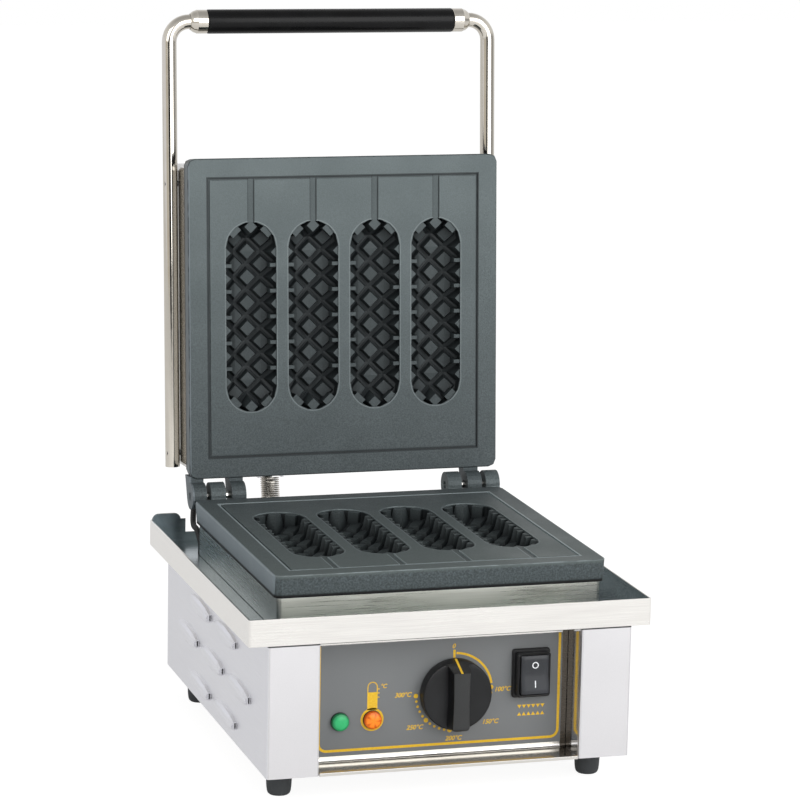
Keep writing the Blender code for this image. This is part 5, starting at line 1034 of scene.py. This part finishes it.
def add_feet():
    """Tapered rubber feet with a washer recess under the sole."""
    for corner in ("front_left", "front_right", "rear_left", "rear_right"):
        (x, y, middle), half = middle_and_half(f"foot_{corner}")
        top = middle + half.z
        profile = [(2.4 * MM, top), (9.9 * MM, top), (10.2 * MM, top - 0.5 * MM), (9.7 * MM, top - 7 * MM),
                   (9.2 * MM, 6 * MM), (8.8 * MM, 2.8 * MM), (8.2 * MM, 1.2 * MM), (7.2 * MM, 0.3 * MM),
                   (6.0 * MM, 0), (4.7 * MM, 0), (4.6 * MM, 7.4 * MM), (2.4 * MM, 7.4 * MM)]
        bm = bmesh.new()
        put_turned(bm, profile, (x, y, 0), (0, 0, 1), 48)
        foot = add_piece(f"rubber_foot_{corner}", bm, RUBBER, "base")
        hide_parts(f"foot_{corner}")


def add_gland():
    """Nylon cable gland: a six-sided nut against the rear panel and a fluted, domed cap with its bore."""
    (x, middle, z), half = middle_and_half("cable_gland")
    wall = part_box("rear_panel")[1].y
    out = middle + half.y - wall
    bore = 4.5 * MM
    turns = [2 * math.pi * k / 48 for k in range(48)]
    stations = ((8.0, -6.5, 0), (8.0, -0.1, 0), (11.2, 0.35, 6), (11.5, 0.9, 6), (11.5, 3.8, 6),
                (11.0, 4.3, 6), (8.2, 4.35, 0), (8.2, 5.0, 0), (8.2, 5.4, 12), (8.0, 11.5, 12),
                (7.0, out / MM - 0.7, 12), (6.2, out / MM, 0))
    loops = []
    for r, along, flats in stations:
        loop = []
        for angle in turns:
            radius = r * MM
            if flats == 6:
                radius *= math.cos(math.pi / 6) / math.cos(angle % (math.pi / 3) - math.pi / 6)
            elif flats:
                radius -= 0.35 * MM * (0.5 + 0.5 * math.cos(flats * 2 * angle))
            loop.append((x + radius * math.cos(angle), wall + along * MM, z + radius * math.sin(angle)))
        loops.append(loop)
    for along in (out - 1.2 * MM, -6.5 * MM):
        loops.append([(x + bore * math.cos(a), wall + along, z + bore * math.sin(a)) for a in turns])
    bm = bmesh.new()
    put_loft(bm, loops + [loops[0]], closed_ends=False)
    bmesh.ops.remove_doubles(bm, verts=bm.verts, dist=0.001 * MM)
    gland = add_piece("gland_nut_and_cap", bm, KNOB_PLASTIC, "base")
    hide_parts("cable_gland")


def add_spring():
    """The balance spring: a long helix between two anchor pins, with a hook round each pin."""
    top = lid_point(SPRING_X, *SPRING_LID_PIN)
    bottom = SPRING_BASE_PIN
    along = (bottom - top).normalized()
    length = (bottom - top).length
    across = Vector((1, 0, 0))
    third = along.cross(across)
    seat = SPRING_PIN_RADIUS + SPRING_WIRE / 2 + 0.1 * MM
    start = SPRING_PIN_RADIUS + SPRING_WIRE
    per_turn = 14
    ends = []
    for pin, towards in ((top, along), (bottom, -along)):
        hook = [pin - towards * seat * math.cos(a) + third * seat * math.sin(a)
                for a in (math.radians(-130 + 22 * k) for k in range(11))]
        ends.append([*hook, pin + towards * start * 0.5 + third * (seat + SPRING_RADIUS) * 0.52])
    points = ends[0]
    total = SPRING_CURLS * per_turn
    for k in range(total + 1):
        angle = 2 * math.pi * k / per_turn + math.pi / 2
        ring = across * math.cos(angle) + third * math.sin(angle)
        points.append(top + along * (start + (length - 2 * start) * k / total) + ring * SPRING_RADIUS)
    points += reversed(ends[1])
    bm = bmesh.new()
    put_tube(bm, points, SPRING_WIRE / 2, 6)
    spring = add_piece("spring_wire_coil", bm, WIRE, "base")
    spring.parent = None
    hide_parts("balance_spring")
    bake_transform(spring)


def add_lead():
    """The sleeved lead: a slack loop from the tray floor over the hinge into the lid."""
    bm = bmesh.new()
    put_tube(bm, smooth_route(LEAD_POINTS, 48), LEAD_RADIUS, 16)
    lead = add_piece("lead_sleeve", bm, SLEEVE, "base")
    lead.parent = None
    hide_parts("lid_lead_sleeve")
    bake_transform(lead)


def add_side_teeth(name, body, point, iron):
    """Small teeth along both walls of each trough, between the pegs."""
    outer = CAVITY_RADIUS + 0.2 * MM
    levels = ((TOOTH_FOOT, 0.6 * MM), (TOOTH_DROP + 0.25 * MM, 0.05 * MM), (TOOTH_DROP, -0.2 * MM))
    bm = bmesh.new()
    for cavity, side, row in itertools.product(range(4), (-1, 1), TOOTH_ROWS):
        x, s = (cavity - 1.5) * CAVITY_PITCH, CAVITY_MIDDLE + row
        loops = []
        for depth, grow in levels:
            half, low = TOOTH_WIDTH / 2 + grow, CAVITY_RADIUS - TOOTH_REACH - grow
            corners = ((low, -half), (outer, -half), (outer, half), (low, half))
            loops.append([point(x + side * a, s + b, FACE + depth) for a, b in corners])
        put_loft(bm, loops)
    add_piece(name, bm, iron, body, smooth=False)


# Light, floor and camera

def add_area_light(name, place, target, size, power):
    """A soft box that faces a target."""
    light = bpy.data.lights.new(name, "AREA")
    light.shape = "RECTANGLE"
    light.size, light.size_y = size
    light.energy = power
    obj = new_object(name, light)
    obj.location = place
    obj.rotation_euler = (Vector(target) - Vector(place)).to_track_quat("-Z", "Y").to_euler()


def bare_tree(owner):
    """The node tree of a world or a material, emptied."""
    owner.use_nodes = True
    owner.node_tree.nodes.clear()
    return owner.node_tree


def set_world():
    """A white studio: seen white, lit softly, and mirrored with its dark gaps and one tan wall.

    The gaps stand still in the room: a dark stand in front of the object, a grey wall on the right and a
    tan one on the left, which the rods, the tray and the fascia show.
    """
    world = bpy.data.worlds.new("studio")
    bpy.context.scene.world = world
    tree = bare_tree(world)
    rays = add_node(tree, "LightPath", output=None).outputs
    direction = add_node(tree, "TexCoord", output="Generated")
    ahead, aside = (add_node(tree, "VectorMath", (direction, way), output=1, operation="DOT_PRODUCT")
                    for way in (ROOM_AHEAD, ROOM_ASIDE))
    turn = add_node(tree, "Math", (aside, ahead), operation="ARCTAN2")
    turn = add_node(tree, "MapRange", (turn, -math.pi, math.pi, 0, 1))
    walls = add_node(tree, "ValToRGB", (turn,), output=None)
    stops = walls.color_ramp.elements
    for angle, colour in ROOM_WALLS[1:-1]:
        stops.new((angle + 180) / 360).color = srgb(colour)
    for end in (0, -1):
        stops[end].color = srgb(ROOM_WALLS[end][1])
    height = add_node(tree, "SeparateXYZ", (direction,), output=2)
    ceiling = add_node(tree, "MapRange", (height, 0.45, 0.95, 1, 0.55))
    overhead = add_node(tree, "MapRange", (height, 0.10, 0.22, 0, 1))
    above = coated(tree, walls.outputs[0], (overhead, "#F3F3F3"))
    ambient, mirrored, seen = (add_node(tree, "Background", (colour, strength)) for colour, strength in
                               (("#FFFFFF", 0.45), (above, ceiling), ("#FFFFFF", 1)))
    reflected = add_node(tree, "MixShader", (rays["Is Glossy Ray"], ambient, mirrored))
    straight = add_node(tree, "Math", (rays["Is Camera Ray"], rays["Is Transmission Ray"]),
                        operation="MAXIMUM")
    mixed = add_node(tree, "MixShader", (straight, reflected, seen))
    add_node(tree, "OutputWorld", (mixed,), output=None)


def add_floor():
    """A pale floor that keeps the object's shadow and meets the white behind it without a line."""
    bm = bmesh.new()
    bmesh.ops.create_grid(bm, x_segments=1, y_segments=1, size=6)
    floor = new_mesh("floor", bm)
    material = bpy.data.materials.new("studio_floor")
    tree = bare_tree(material)
    rays = add_node(tree, "LightPath", output=None).outputs
    paint = add_node(tree, "BsdfDiffuse", ("#F4F4F4",))
    glow = add_node(tree, "Emission", ("#FFFFFF", 1.22))
    shares = [product(tree, rays["Is Camera Ray"], 0.75), product(tree, rays["Is Glossy Ray"], 0.42)]
    mixed = add_node(tree, "MixShader", (add_node(tree, "Math", shares, operation="MAXIMUM"), paint, glow))
    add_node(tree, "OutputMaterial", (mixed,), output=None)
    floor.data.materials.append(material)


def add_camera():
    """The photograph's viewpoint: yaw from +Y towards +X, pitch down, then a slight roll."""
    level = math.cos(CAMERA_PITCH)
    forward = Vector((math.sin(CAMERA_YAW) * level, math.cos(CAMERA_YAW) * level, -math.sin(CAMERA_PITCH)))
    right = Vector((math.cos(CAMERA_YAW), -math.sin(CAMERA_YAW), 0))
    up = right.cross(forward)
    across = right * math.cos(CAMERA_ROLL) + up * math.sin(CAMERA_ROLL)
    upward = up * math.cos(CAMERA_ROLL) - right * math.sin(CAMERA_ROLL)
    turn = Matrix((across, upward, -forward)).transposed().to_4x4()
    data = bpy.data.cameras.new("camera")
    data.lens = CAMERA_LENS
    data.sensor_width = CAMERA_SENSOR
    data.clip_end = 50
    camera = new_object("camera", data)
    camera.matrix_world = Matrix.Translation(CAMERA_PLACE) @ turn
    bpy.context.scene.camera = camera


finish_cad_nodes()
for sheet in ("top_tray", "left_side_panel", "right_side_panel", "lid_casing", "plinth", "base_pan"):
    soften_edges(sheet, 0.25 * MM)
add_border()
add_dial_marks()
add_thermometer()
add_heater_mark()
add_fascia_foot()
add_knob_disc()
add_knob_ridge()
add_knob_pointer()
add_switch_frame()
add_switch_paddle()
add_switch_marks()
add_lamp("green", GREEN_GLASS)
add_lamp("orange", ORANGE_GLASS)
add_rod()
add_grip()
add_feet()
add_gland()
add_spring()
add_lead()
add_side_teeth("lower_side_teeth", "base", base_point, LOWER_IRON)
add_side_teeth("upper_side_teeth", "lid", lid_point, UPPER_IRON)
set_world()
add_floor()
add_area_light("key", (1.0, -2.5, 1.3), (0, 0, 0.25), (2.8, 2.2), 58)
add_area_light("fill", (-1.9, -1.9, 1.5), (0, 0, 0.2), (1.6, 1.6), 18)
add_camera()

bpy.context.view_layer.update()
